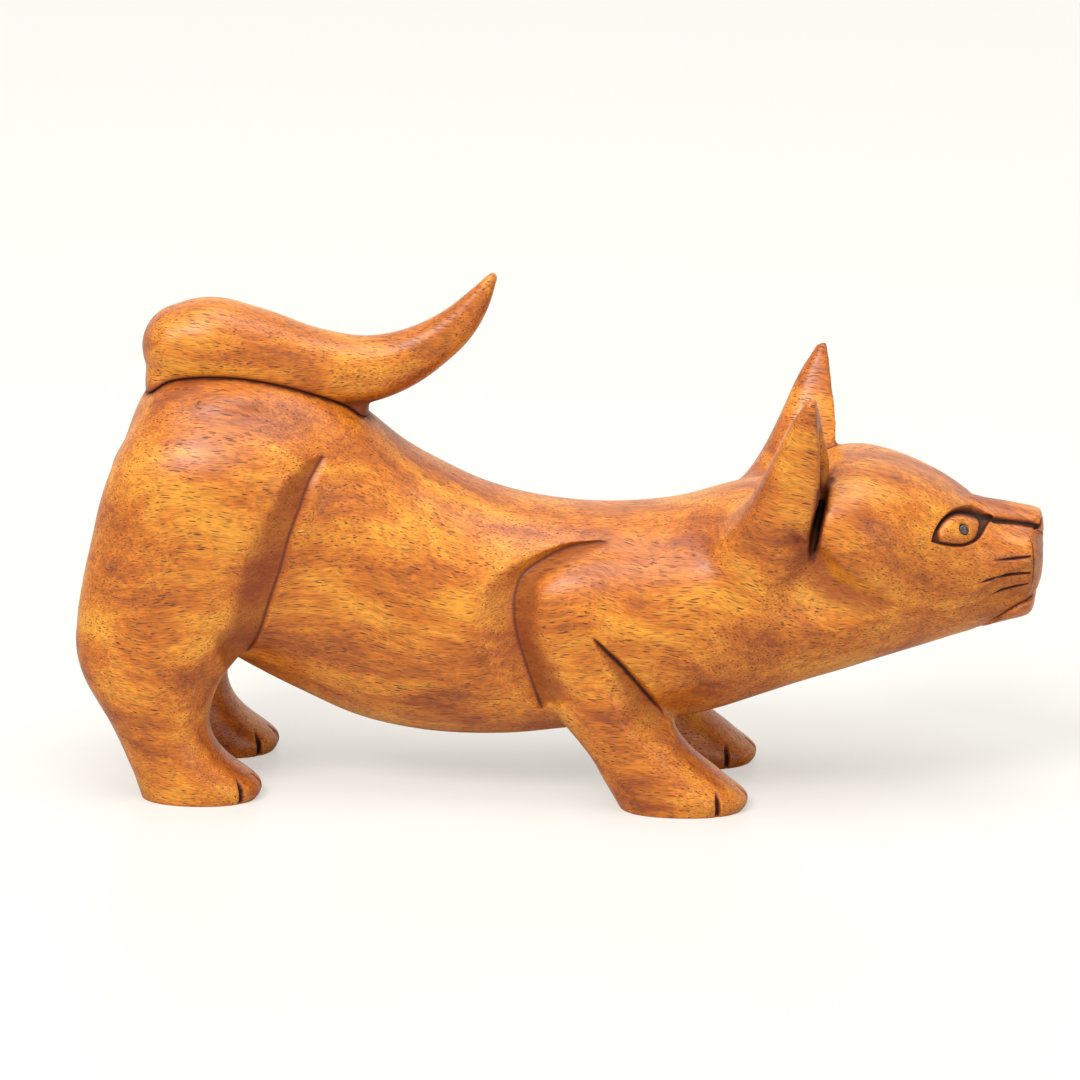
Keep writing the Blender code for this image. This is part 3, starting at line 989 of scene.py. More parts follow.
def smoothed(obj: bpy.types.Object, amount: np.ndarray, times: int) -> np.ndarray:
    """Work out where sanding would leave an object's vertices.

    Args:
        obj: The object.
        amount: How much each vertex is sanded, from 0 to 1.
        times: How many times.

    Returns:
        The places, in millimetres.
    """
    places, _ = surface(obj)
    ends = np.empty(len(obj.data.edges) * 2, dtype=np.int64)
    obj.data.edges.foreach_get("vertices", ends)
    ends = ends.reshape(-1, 2)
    ends = ends[(amount[ends] > 0).any(axis=1)]
    both = np.concatenate([ends, ends[:, ::-1]])
    degree = np.maximum(np.bincount(both[:, 0], minlength=len(places)), 1)[:, None]
    share = 0.5 * amount[:, None]
    for _ in range(times):
        total = [
            np.bincount(both[:, 0], weights=places[both[:, 1], axis], minlength=len(places))
            for axis in range(3)
        ]
        places = places + share * (np.stack(total, axis=1) / degree - places)
    return places


def sand(obj: bpy.types.Object, amount: np.ndarray, times: int) -> None:
    """Sand some places of an object.

    Args:
        obj: The object.
        amount: How much each vertex is sanded, from 0 to 1.
        times: How many times.
    """
    move_to(obj, smoothed(obj, amount, times))


def within(values: np.ndarray, low: float, high: float, edge: float) -> np.ndarray:
    """Say how far values lie within a range, from 0 at its ends to 1 an edge's width inside."""
    return np.clip(np.minimum(values - low, high - values) / edge, 0, 1)


def beside(spots: np.ndarray, marks: np.ndarray) -> tuple[np.ndarray, np.ndarray, np.ndarray]:
    """Measure how places on a view lie to a path drawn on it.

    Args:
        spots: The places, two coordinates each.
        marks: The path's marks: two coordinates, zero and some values each.

    Returns:
        For each place the distance to the path, whether it lies to its left, and the path's values.
    """
    nearest = np.full(len(spots), np.inf)
    left = np.zeros(len(spots), bool)
    values = np.zeros((len(spots), marks.shape[1] - 3))
    for start, end in zip(marks, marks[1:]):
        line = end[:2] - start[:2]
        offset = spots - start[:2]
        t = np.clip(offset @ line / (line @ line), 0, 1)
        gap = np.linalg.norm(offset - np.outer(t, line), axis=1)
        closer = gap < nearest
        nearest[closer] = gap[closer]
        left[closer] = (line[0] * offset[:, 1] - line[1] * offset[:, 0] > 0)[closer]
        values[closer] = (start[3:] + np.outer(t, end[3:] - start[3:]))[closer]
    return nearest, left, values


def cut_walls(obj: bpy.types.Object, cut: WallCut) -> None:
    """Cut two flat walls into both sides of an object, with painted shade in the crease and on the walls.

    Args:
        obj: The object.
        cut: The cut.
    """
    places, _ = surface(obj)
    gap, left, values = beside(places[:, [0, 2]], path_on(cut.marks, 1.0))
    rise = np.where(left, values[:, 1], values[:, 2])
    wall = values[:, 0] + rise * (np.sqrt(gap**2 + cut.rounding**2) - cut.rounding)
    out = np.abs(places[:, 1])
    pared = out > wall
    places[pared, 1] = (np.sign(places[:, 1]) * wall)[pared]
    move_to(obj, places)
    # Painted shade lies within about a millimetre of the crease, where 0.6 mm or more was cut away.
    dark = cut.stain * np.clip(1.15 - gap, 0, 1) * np.clip((out - wall) / 0.6, 0, 1)
    # Painted shade darkens the walls where 0.9 mm or more was cut away, and thins out past the reach.
    wall_shaded = np.where(left, *cut.wall_shades) * np.clip((out - wall) / 0.9, 0, 1)
    wall_shaded *= np.clip(1.6 - gap / cut.reach, 0, 1)
    set_shade_and_dirt(obj, np.maximum(shade_and_dirt_of(obj), np.maximum(dark, wall_shaded)))
    # The crease itself stays sharp, and so does the middle of the back.
    sand(obj, within(gap, 0.8, 12, 1.2) * (out > 10) * (gap < 12), cut.sanding)


def cut_eyes(obj: bpy.types.Object, eye: EyeCut) -> None:
    """Cut the rim of each eye and round the eyeball.

    Args:
        obj: The object.
        eye: The eye.
    """
    places, normals = surface(obj)
    spots = places[:, [0, 2]]
    outline = path_on(eye.outline + eye.outline[:1], 0.4)
    gap, _, values = beside(spots, outline)
    rim = values[:, 0]
    inside = np.zeros(len(spots), bool)
    for start, end in zip(outline, outline[1:]):
        spans = (start[1] > spots[:, 1]) != (end[1] > spots[:, 1])
        if spans.any():
            t = (spots[:, 1] - start[1]) / (end[1] - start[1])
            inside ^= spans & (spots[:, 0] < start[0] + t * (end[0] - start[0]))
    # The eyeball rises from its rim in a round, and the wall outside the rim is steep.
    rounded = 1 - (1 - np.clip(gap / eye.half_height, 0, 1)) ** 2
    offset = np.where(
        inside, -rim + (rim + eye.dome) * rounded, -rim * np.clip(1 - gap / eye.wall, 0, 1),
    )
    ball_x, ball_z, radius = eye.ball
    # Within 0.6 mm past the ball, the corners drop to the rim's depth.
    past = np.hypot(spots[:, 0] - ball_x, spots[:, 1] - ball_z) - radius
    corner = inside * np.clip(past / 0.6, 0, 1)
    offset = np.where(inside, offset - corner * np.clip(offset + rim, 0, 2), offset)
    # Only the skin that faces the side is touched, and not the bridge of the nose.
    side = (np.abs(places[:, 1]) > 5) & (normals[:, 1] * np.sign(places[:, 1]) > 0.1)
    offset[~side] = 0
    move_to(obj, places + normals * offset[:, None])
    # The rim, and the corners past the ball, get painted shade.
    dark = np.where(inside, np.clip(1.2 - gap / (0.8 * rim), 0, 1), np.clip(1.1 - gap / 0.5, 0, 1))
    set_shade_and_dirt(obj, np.maximum(shade_and_dirt_of(obj), 0.95 * side * np.maximum(dark, 0.8 * corner)))


def hollow_shade(obj: bpy.types.Object) -> np.ndarray:
    """Find how much painted shade an object's hollows get, by how far they lie under its smoothed shape.

    Args:
        obj: The object.

    Returns:
        One value per vertex, from 0 to 1.
    """
    places, normals = surface(obj)
    soft = smoothed(obj, np.ones(len(places)), 30)
    hollow = ((soft - places) * normals).sum(axis=1)
    # A hollow shows from 0.08 mm under the smoothed shape, and is darkest 0.45 mm further down.
    return 0.85 * np.clip((hollow - 0.08) / 0.45, 0, 1)


def joint_dirt_and_shade(obj: bpy.types.Object, other: bpy.types.Object) -> np.ndarray:
    """Find how much dirt and painted shade darken an object where another one meets it.

    Args:
        obj: The object.
        other: The other one.

    Returns:
        One value per vertex, from 0 to 1.
    """
    skin = tree_of(other)
    gaps = [skin.find_nearest(v.co, JOINT_DIRT_AND_SHADE * MM)[3] for v in obj.data.vertices]
    gaps = np.array([JOINT_DIRT_AND_SHADE if gap is None else gap / MM for gap in gaps])
    return 0.75 * np.clip((JOINT_DIRT_AND_SHADE - gaps) / (JOINT_DIRT_AND_SHADE - JOINT_GAP), 0, 1) ** 1.8


def carried(places: np.ndarray, values: np.ndarray, to: np.ndarray) -> np.ndarray:
    """Carry values to other places from the nearest ones.

    Args:
        places: Where the values are.
        values: The values.
        to: The other places.

    Returns:
        One value per other place.
    """
    tree = KDTree(len(places))
    for k, place in enumerate(places):
        tree.insert(place, k)
    tree.balance()
    return values[[tree.find(place)[1] for place in to]]


class StrokeTool:
    """A Geometry Nodes tree that cuts strokes into a surface along their paths, with painted shade in
    them.
    """

    def __init__(self) -> None:
        """Build the tree."""
        self.tree = bpy.data.node_groups.new("cut_strokes", "GeometryNodeTree")
        self.sockets: dict[str, str] = {}
        for name, kind in (
            ("Geometry", "NodeSocketGeometry"), ("Strokes", "NodeSocketObject"),
            ("Half width", "NodeSocketFloat"), ("Depth", "NodeSocketFloat"),
            ("Slope", "NodeSocketFloat"), ("Shade", "NodeSocketFloat"),
            ("Material", "NodeSocketMaterial"),
        ):
            socket = self.tree.interface.new_socket(name, in_out="INPUT", socket_type=kind)
            self.sockets[name] = socket.identifier
        self.tree.interface.new_socket("Geometry", in_out="OUTPUT", socket_type="NodeSocketGeometry")
        tree = self.tree
        given = add(tree, "NodeGroupInput").node.outputs
        paths = add(tree, "GeometryNodeObjectInfo", {"Object": given["Strokes"]}, out="Geometry")
        near = add(
            tree, "GeometryNodeProximity", {0: paths}, out="Distance", target_element="EDGES",
        )
        index = add(tree, "GeometryNodeSampleNearest", {"Geometry": paths}, domain="POINT")
        share_there, had = (
            add(
                tree, "GeometryNodeInputNamedAttribute", {"Name": name}, out="Attribute",
                data_type="FLOAT",
            )
            for name in ("share", "stain")
        )
        share = add(
            tree, "GeometryNodeSampleIndex",
            {"Geometry": paths, "Value": share_there, "Index": index}, out="Value",
            data_type="FLOAT", domain="POINT",
        )
        # The cut narrows with its depth, and its walls rise from the path to its rim.
        width = maths(tree, "MULTIPLY", given["Half width"], maths(tree, "MAXIMUM", share, 0.05))
        ratio = maths(tree, "MINIMUM", maths(tree, "DIVIDE", near, width), 1.0)
        rise = maths(tree, "SUBTRACT", 1.0, ratio)
        press = maths(tree, "MULTIPLY", maths(tree, "POWER", rise, given["Slope"]), share)
        press = maths(tree, "MULTIPLY", press, given["Depth"])
        push = add(
            tree, "ShaderNodeVectorMath",
            {0: add(tree, "GeometryNodeInputNormal"), "Scale": maths(tree, "MULTIPLY", press, -1.0)},
            operation="SCALE",
        )
        # Painted shade lies in the deeper half of the cut, over what was there before.
        left = maths(tree, "MULTIPLY", maths(tree, "MULTIPLY", rise, share), 1.8)
        left = maths(tree, "MULTIPLY", maths(tree, "MINIMUM", left, 1.0), given["Shade"])
        stained = add(
            tree, "GeometryNodeStoreNamedAttribute",
            {"Geometry": given["Geometry"], "Name": "stain",
             "Value": maths(tree, "MAXIMUM", had, left)},
            data_type="FLOAT", domain="POINT",
        )
        moved = add(tree, "GeometryNodeSetPosition", {"Geometry": stained, "Offset": push})
        real = add(tree, "GeometryNodeRealizeInstances", {"Geometry": moved})
        dressed = add(
            tree, "GeometryNodeSetMaterial", {"Geometry": real, "Material": given["Material"]},
        )
        add(tree, "NodeGroupOutput", {"Geometry": dressed})

    def paths_on(self, obj: bpy.types.Object, cuts: Strokes) -> bpy.types.Object:
        """Lay the strokes' paths on an object, on both sides.

        Args:
            obj: The object.
            cuts: The strokes.

        Returns:
            An object of edges along the paths, with the share of the depth at each point.
        """
        skin = tree_of(obj)
        points: list[Vector] = []
        shares: list[float] = []
        edges: list[tuple[int, int]] = []
        for stroke in cuts.strokes:
            for side in SIDES:
                last = None
                for start, way, share in self.rays(stroke, side):
                    hit = skin.ray_cast(start, way)[0]
                    if hit is None:
                        last = None
                        continue
                    # A longer gap means that the ray slipped past an edge.
                    if last is not None and (hit - points[last]).length > 1.5 * MM:
                        last = None
                    points.append(hit)
                    shares.append(share)
                    if last is not None:
                        edges.append((last, len(points) - 1))
                    last = len(points) - 1
        mesh = bpy.data.meshes.new(cuts.name)
        mesh.from_pydata(points, edges, [])
        layer = mesh.attributes.new("share", "FLOAT", "POINT")
        layer.data.foreach_set("value", shares)
        return link(cuts.name, mesh)

    def rays(self, stroke: Stroke, side: int) -> list[tuple[Vector, Vector, float]]:
        """The rays that find a stroke's points on the surface.

        Args:
            stroke: The stroke.
            side: 1 for the left side, -1 for the right.

        Returns:
            Each ray's start in metres, its way, and the share of the depth there.
        """
        found = []
        if stroke.view is None:
            for mark in through(stroke.marks, 0.25):
                start, way = Vector(mark[:3]), Vector(mark[3:6])
                start.y *= side
                way.y *= side
                found.append((start * MM, way.normalized(), float(mark[6])))
            return found
        first, second, away = stroke.view.value
        for mark in path_on(stroke.marks, 0.25):
            start, way = Vector((0, 0, 0)), Vector((0, 0, 0))
            start[first], start[second], start[away] = mark[0], mark[1], OUTSIDE
            way[away] = -1
            if side < 0:
                start.y, way.y = -start.y, -way.y
            found.append((start * MM, way, float(np.clip(mark[3], 0, 1))))
        return found

    def cut(self, obj: bpy.types.Object, cuts: Strokes, material: bpy.types.Material) -> None:
        """Cut the strokes into an object.

        Args:
            obj: The object, whose mesh is replaced.
            cuts: The strokes.
            material: The object's material.
        """
        paths = self.paths_on(obj, cuts)
        modifier = obj.modifiers.new(cuts.name, "NODES")
        modifier.node_group = self.tree
        for name, value in (
            ("Strokes", paths), ("Half width", cuts.half_width * MM), ("Depth", cuts.depth * MM),
            ("Slope", cuts.edge.value), ("Shade", cuts.stain), ("Material", material),
        ):
            modifier[self.sockets[name]] = value
        apply_modifiers(obj)
        bpy.data.objects.remove(paths)


@dataclass
class Trunk:
    """The trunk, from the rump to under the chin, with the muscles over the shoulders."""

    slices: tuple[Slice, ...] = (
        Slice(-115, 89, 56, 17), Slice(-110.5, 101.6, 50, 22), Slice(-104, 109.2, 45, 25.6),
        Slice(-95, 112, 39, 28), Slice(-85, 112.6, 33, 28.3), Slice(-75, 111.2, 27.5, 27.6),
        Slice(-65, 108, 22.6, 27), Slice(-57, 103.8, 18.8, 26.8), Slice(-49, 97.4, 16.2, 27),
        Slice(-42, 91.6, 14.8, 27.2), Slice(-32, 85.8, 13.6, 27.6), Slice(-21, 80.6, 13.4, 28),
        Slice(-10, 77.4, 14, 28.2), Slice(0, 75.8, 15.4, 28.3), Slice(11, 75.2, 16.8, 28.5),
        Slice(22, 75.8, 18, 28.7), Slice(32, 77.4, 19.4, 28.6), Slice(43, 81, 22.4, 28.2),
        Slice(53, 83, 26, 27.8), Slice(64, 83, 30, 27.2), Slice(75, 84, 33.6, 26.4),
        Slice(85, 86, 37, 25.2), Slice(95, 83.5, 40.1, 21.4), Slice(106, 76, 43.7, 16.8),
        Slice(116, 68, 46.7, 12.8), Slice(123.4, 60, 48.8, 10.8),
    )
    caps: tuple[float, float] = (4, 1.5)
    shoulder: tuple[Slice, ...] = (
        Slice(-6, 63, 44, 10, 19), Slice(2, 67, 34, 12, 19.2), Slice(11, 68, 29, 12.8, 19.2),
        Slice(21, 68, 27, 12.8, 19), Slice(32, 68.5, 28, 12.4, 18.4), Slice(44, 71, 32, 12, 17.4),
        Slice(56, 75, 40, 12, 16.6), Slice(63, 76, 46, 12, 16.4),
    )
    shoulder_caps: tuple[float, float] = (3, 8)

    def forms(self) -> list[Form]:
        """The trunk's rounded forms."""
        muscles = [Form(self.shoulder, self.shoulder_caps, side) for side in SIDES]
        return [Form(self.slices, self.caps), *muscles]

    def cuts(self) -> list[WallCut]:
        """The cuts that part the legs from the trunk."""
        return [
            # Each cut paints shade in its crease and on its pared walls.
            # The thigh's flat chamfer is on the left, the belly on the right.
            WallCut((
                (-83, 34.5, 18, 2.5, 2), (-80.7, 38.7, 19, 1.4, 1.2), (-77.4, 44.7, 23.2, 0.9, 0.8),
                (-73.7, 55.7, 26.3, 0.55, 0.6), (-70.9, 64.1, 26.7, 0.53, 0.55),
                (-68.7, 72.3, 26.6, 0.57, 0.55), (-65.9, 80.1, 25.6, 0.66, 0.6),
                (-63.2, 87.6, 23.6, 0.8, 0.5), (-60.1, 92.9, 20.2, 1, 0.5), (-58.8, 95, 20.6, 1.5, 0.7),
            ), wall_shades=(0.33, 0.16), sanding=3),
            # The shoulder's back, from the withers down behind the foreleg, which is on the left.
            WallCut((
                (17, 70.4, 18.4, 3, 1), (12.1, 70.2, 16.6, 3, 0.8), (8.2, 69.6, 16.6, 3, 0.7),
                (4.4, 68.9, 17, 3, 0.7), (-0.2, 67.2, 18.4, 2.6, 0.6), (-4.6, 64.9, 20.2, 1.8, 0.55),
                (-8.3, 61.9, 21.6, 1.2, 0.5), (-9.9, 57.6, 23, 0.9, 0.45), (-10.1, 52.9, 24, 0.8, 0.4),
                (-9.2, 46.3, 24.2, 0.8, 0.4), (-7.5, 40.3, 23.8, 0.8, 0.45), (-5.5, 33.7, 23, 0.85, 0.55),
                (-3.6, 27.8, 22.2, 0.9, 0.9), (-2.2, 24, 23, 1.4, 1.4),
            ), wall_shades=(0.42, 0.16), reach=7),
            # The foreleg's front facet is on the right, the chest on the left.
            WallCut((
                (10, 49.6, 32.4, 2, 2), (11.6, 47.7, 31.2, 2, 1.4), (14.2, 44.7, 30.2, 2, 1),
                (17.3, 41.4, 29, 2, 0.85), (21.4, 35.9, 26.8, 2, 0.85), (25.8, 29.4, 23.2, 2, 0.95),
                (29.4, 25, 22.4, 2, 1.05), (33, 21, 24, 2.4, 1.15), (36.5, 17, 27, 3, 1.3),
            ), wall_shades=(0.1, 0.3), reach=5),
        ]


@dataclass
class Legs:
    """The four legs, each bent low, with toes parted by short cuts."""

    hind: tuple[Level, ...] = (
        Level(104, -101, -72, 9, 11), Level(97, -110.5, -62, 12, 14), Level(90, -115, -57, 14.3, 15.8),
        Level(80, -118.8, -56, 16, 15.8), Level(68, -121.6, -59, 17.4, 14.8),
        Level(57, -124, -65, 18.8, 13.2), Level(47, -125.4, -74, 20, 12),
        Level(39, -125.6, -81.6, 20.6, 11.4), Level(31, -123.2, -87.6, 21, 11),
        Level(25, -119.8, -89.8, 21, 10.6), Level(20, -117, -90.6, 21, 10.3),
        Level(14, -114.2, -88.4, 21, 10.4), Level(9, -112, -84.4, 21, 10.9),
        Level(5, -110.2, -79.4, 21, 11.3), Level(2, -109, -77.6, 21, 11.5),
        Level(-2, -108, -79, 21, 11.3),
    )
    fore: tuple[Level, ...] = (
        Level(58, -4, 16, 20, 9.8), Level(50, -4.6, 14.4, 20.3, 10.6), Level(42, -4.4, 15.4, 20.6, 10.8),
        Level(34, -3, 21, 20.8, 10.6), Level(28, -0.8, 26.4, 21, 10.3), Level(23, 1.8, 31, 21, 10),
        Level(18.5, 5.3, 34, 21, 9.9), Level(15, 8.2, 37, 21, 10.1), Level(11, 10.9, 42, 21, 10.7),
        Level(7, 13.1, 45.8, 21, 11.3), Level(4, 14.9, 48.8, 21, 11.6), Level(1, 16.6, 50, 21, 11.5),
        Level(-2, 18, 49, 21, 11.2),
    )
    hind_foot: tuple[Level, ...] = (
        Level(19, -113, -93, 21, 8), Level(14, -112.6, -88.6, 21, 9.6), Level(10, -111.6, -85, 21, 10.6),
        Level(6.6, -110.6, -80.4, 21, 11.2), Level(4.2, -110, -77.4, 21, 11.5),
        Level(2.4, -109.4, -76.6, 21, 11.6), Level(0.8, -108.8, -77.4, 21, 11.4),
        Level(-1.4, -108.4, -80, 21, 11),
    )
    fore_foot: tuple[Level, ...] = (
        Level(19, 8, 31, 21, 8), Level(15, 9.6, 36, 21, 9.2), Level(11, 11.6, 41.8, 21, 10.5),
        Level(7, 13.6, 46.4, 21, 11.2), Level(4.4, 15, 49.8, 21, 11.7), Level(2.6, 16, 51.3, 21, 11.7),
        Level(1, 16.8, 50.8, 21, 11.5), Level(-1.2, 18, 47.6, 21, 11),
    )
    caps: tuple[float, float] = (5, 0)
    foot_squareness: float = 2.3
    foot_out: float = 21.0
    toe_tips: tuple[float, float] = (-76.8, 51.6)
    toe_reach: float = 11.5
    toe_turns: tuple[float, float] = (50.0, 70.0)

    def forms(self) -> list[Form]:
        """The legs' rounded forms."""
        return [Form(leg, self.caps, side) for side in SIDES for leg in (self.hind, self.fore)]

    def feet(self) -> list[Form]:
        """The crisp feet, added after the sanding."""
        feet = (self.hind_foot, self.fore_foot)
        return [Form(f, (2, 0), side, self.foot_squareness) for side in SIDES for f in feet]

    def strokes(self) -> Strokes:
        """The cuts between the toes, over the front of each foot down to its sole."""
        cuts = []
        for tip, outer in zip(self.toe_tips, self.toe_turns):
            for turn in (-outer, 0, outer):
                ahead = Vector((math.cos(math.radians(turn)), math.sin(math.radians(turn)), 0))
                pivot = Vector((tip - self.toe_reach, self.foot_out, 0.4))
                marks = []
                for rise, share in ((40, 0), (30, 0.6), (20, 1), (10, 1), (1, 1)):
                    angle = math.radians(rise)
                    way = ahead * math.cos(angle) + Vector((0, 0, math.sin(angle)))
                    marks.append((*(pivot + way * 15), *(-way), share))
                cuts.append(Stroke(tuple(marks), None))
        return Strokes("toe_cuts", tuple(cuts), 0.9, 1.4, stain=0.85)


@dataclass
class Ears:
    """Two pointed ears that grow out of the nape, hollowed to the front."""

    root: tuple[Level, ...] = (
        Level(58, 42, 64, 15.5, 12), Level(66, 39.5, 67, 16, 12.8), Level(72, 41.5, 68.8, 17, 12.2),
        Level(78, 46.4, 70.6, 18.8, 11),
    )
    tip: tuple[Level, ...] = (
        Level(84, 50.8, 74.4, 21, 9), Level(90, 54.2, 76, 22.8, 7.5), Level(96, 57, 75.6, 24.6, 5.9),
        Level(102, 59.6, 74, 26.4, 4.5), Level(107, 62.2, 72.4, 27.8, 3.2),
        Level(110.8, 64.7, 70.6, 28.7, 2),
    )
    caps: tuple[float, float] = (4, 2.4)
    blade_squareness: float = 2.6
    hollow: tuple[Level, ...] = (
        Level(82, 66, 71.6, 22, 2.4), Level(86, 65.8, 72, 22.6, 3.6), Level(91, 66.2, 73, 23.4, 4),
        Level(96, 67, 77, 24.8, 3.4), Level(103, 67.8, 77, 26.8, 2.1),
    )
    waste_caps: tuple[float, float] = (2, 2)
    slot: tuple[SlotLevel, ...] = (
        SlotLevel(67.2, 26, 66.6, 66.8, 67.4), SlotLevel(72, 20, 66.2, 66.8, 68.6),
        SlotLevel(80, 16, 67.6, 67.8, 70), SlotLevel(84, 14, 70, 68, 70.7),
        SlotLevel(88, 12, 72, 68, 71.3), SlotLevel(94, 10, 73, 67.9, 72),
        SlotLevel(103, 12, 71.6, 67.9, 73), SlotLevel(114, 14, 69.6, 67.3, 74),
    )
    slot_outside: float = 36.0

    def forms(self) -> list[Form]:
        """The soft roots of the ears."""
        return [Form(self.root + self.tip, self.caps, side) for side in SIDES]

    def blades(self) -> list[Form]:
        """The crisp ears, added after the sanding."""
        outlines = self.root[1:] + self.tip
        return [Form(outlines, self.caps, side, self.blade_squareness) for side in SIDES]

    def hollows(self) -> bpy.types.Object:
        """A cutter for the inside of the ears."""
        return block_of("hollows", [Form(self.hollow, self.waste_caps, side) for side in SIDES])

    def ear_waste(self) -> bpy.types.Object:
        """A cutter for all that lies in front of the ears' rims."""
        return self.wedges([(m, m.rear_inside, m.rear_outside, 82, 82) for m in self.slot])

    def cheek_waste(self) -> bpy.types.Object:
        """A cutter for all that lies behind the cheeks."""
        return self.wedges([(m, 52, 52, m.front, m.front) for m in self.slot])

    def slot_shade(self, x: np.ndarray, out: np.ndarray, z: np.ndarray) -> np.ndarray:
        """Find how much painted shade lies in the slot between an ear and the cheek.

        Args:
            x: Each place's x, in millimetres.
            out: Its distance from the middle plane.
            z: Its height.

        Returns:
            One value per place, from 0 to 1.
        """
        rows = np.array([
            (m.z, m.inside, m.rear_inside, m.rear_outside, m.front) for m in self.slot
        ])
        inside, back, edge, front = (np.interp(z, rows[:, 0], rows[:, k]) for k in range(1, 5))
        across = np.clip((out - inside) / (self.slot_outside - inside), 0, 1)
        rear = back + across * (edge - back)
        # Both walls get painted shade to 1.1 mm out, between the foot of the slot and the tip of the
        # cheek.
        between = within(x, rear - 1.1, np.maximum(front, rear) + 1.1, 0.9)
        return 0.62 * between * within(z, 66, 91, 2.5) * np.clip((out - inside + 3) / 2, 0, 1)

    def wedges(self, levels: list[tuple[SlotLevel, float, float, float, float]]) -> bpy.types.Object:
        """Make a cutter with flat sides, on both sides of the head.

        Args:
            levels: The slot's levels, each with x at the rear wall's inner and outer end and at the
                front wall's outer and inner end.

        Returns:
            The cutter.
        """
        bm = bmesh.new()
        for side in SIDES:
            rings = []
            for mark, *corners in levels:
                outs = (mark.inside, self.slot_outside, self.slot_outside, mark.inside)
                places = [Vector((x, side * y, mark.z)) * MM for x, y in zip(corners, outs)]
                rings.append([bm.verts.new(place) for place in places])
            join_rings(bm, rings)
        return object_from("wedges", bm)


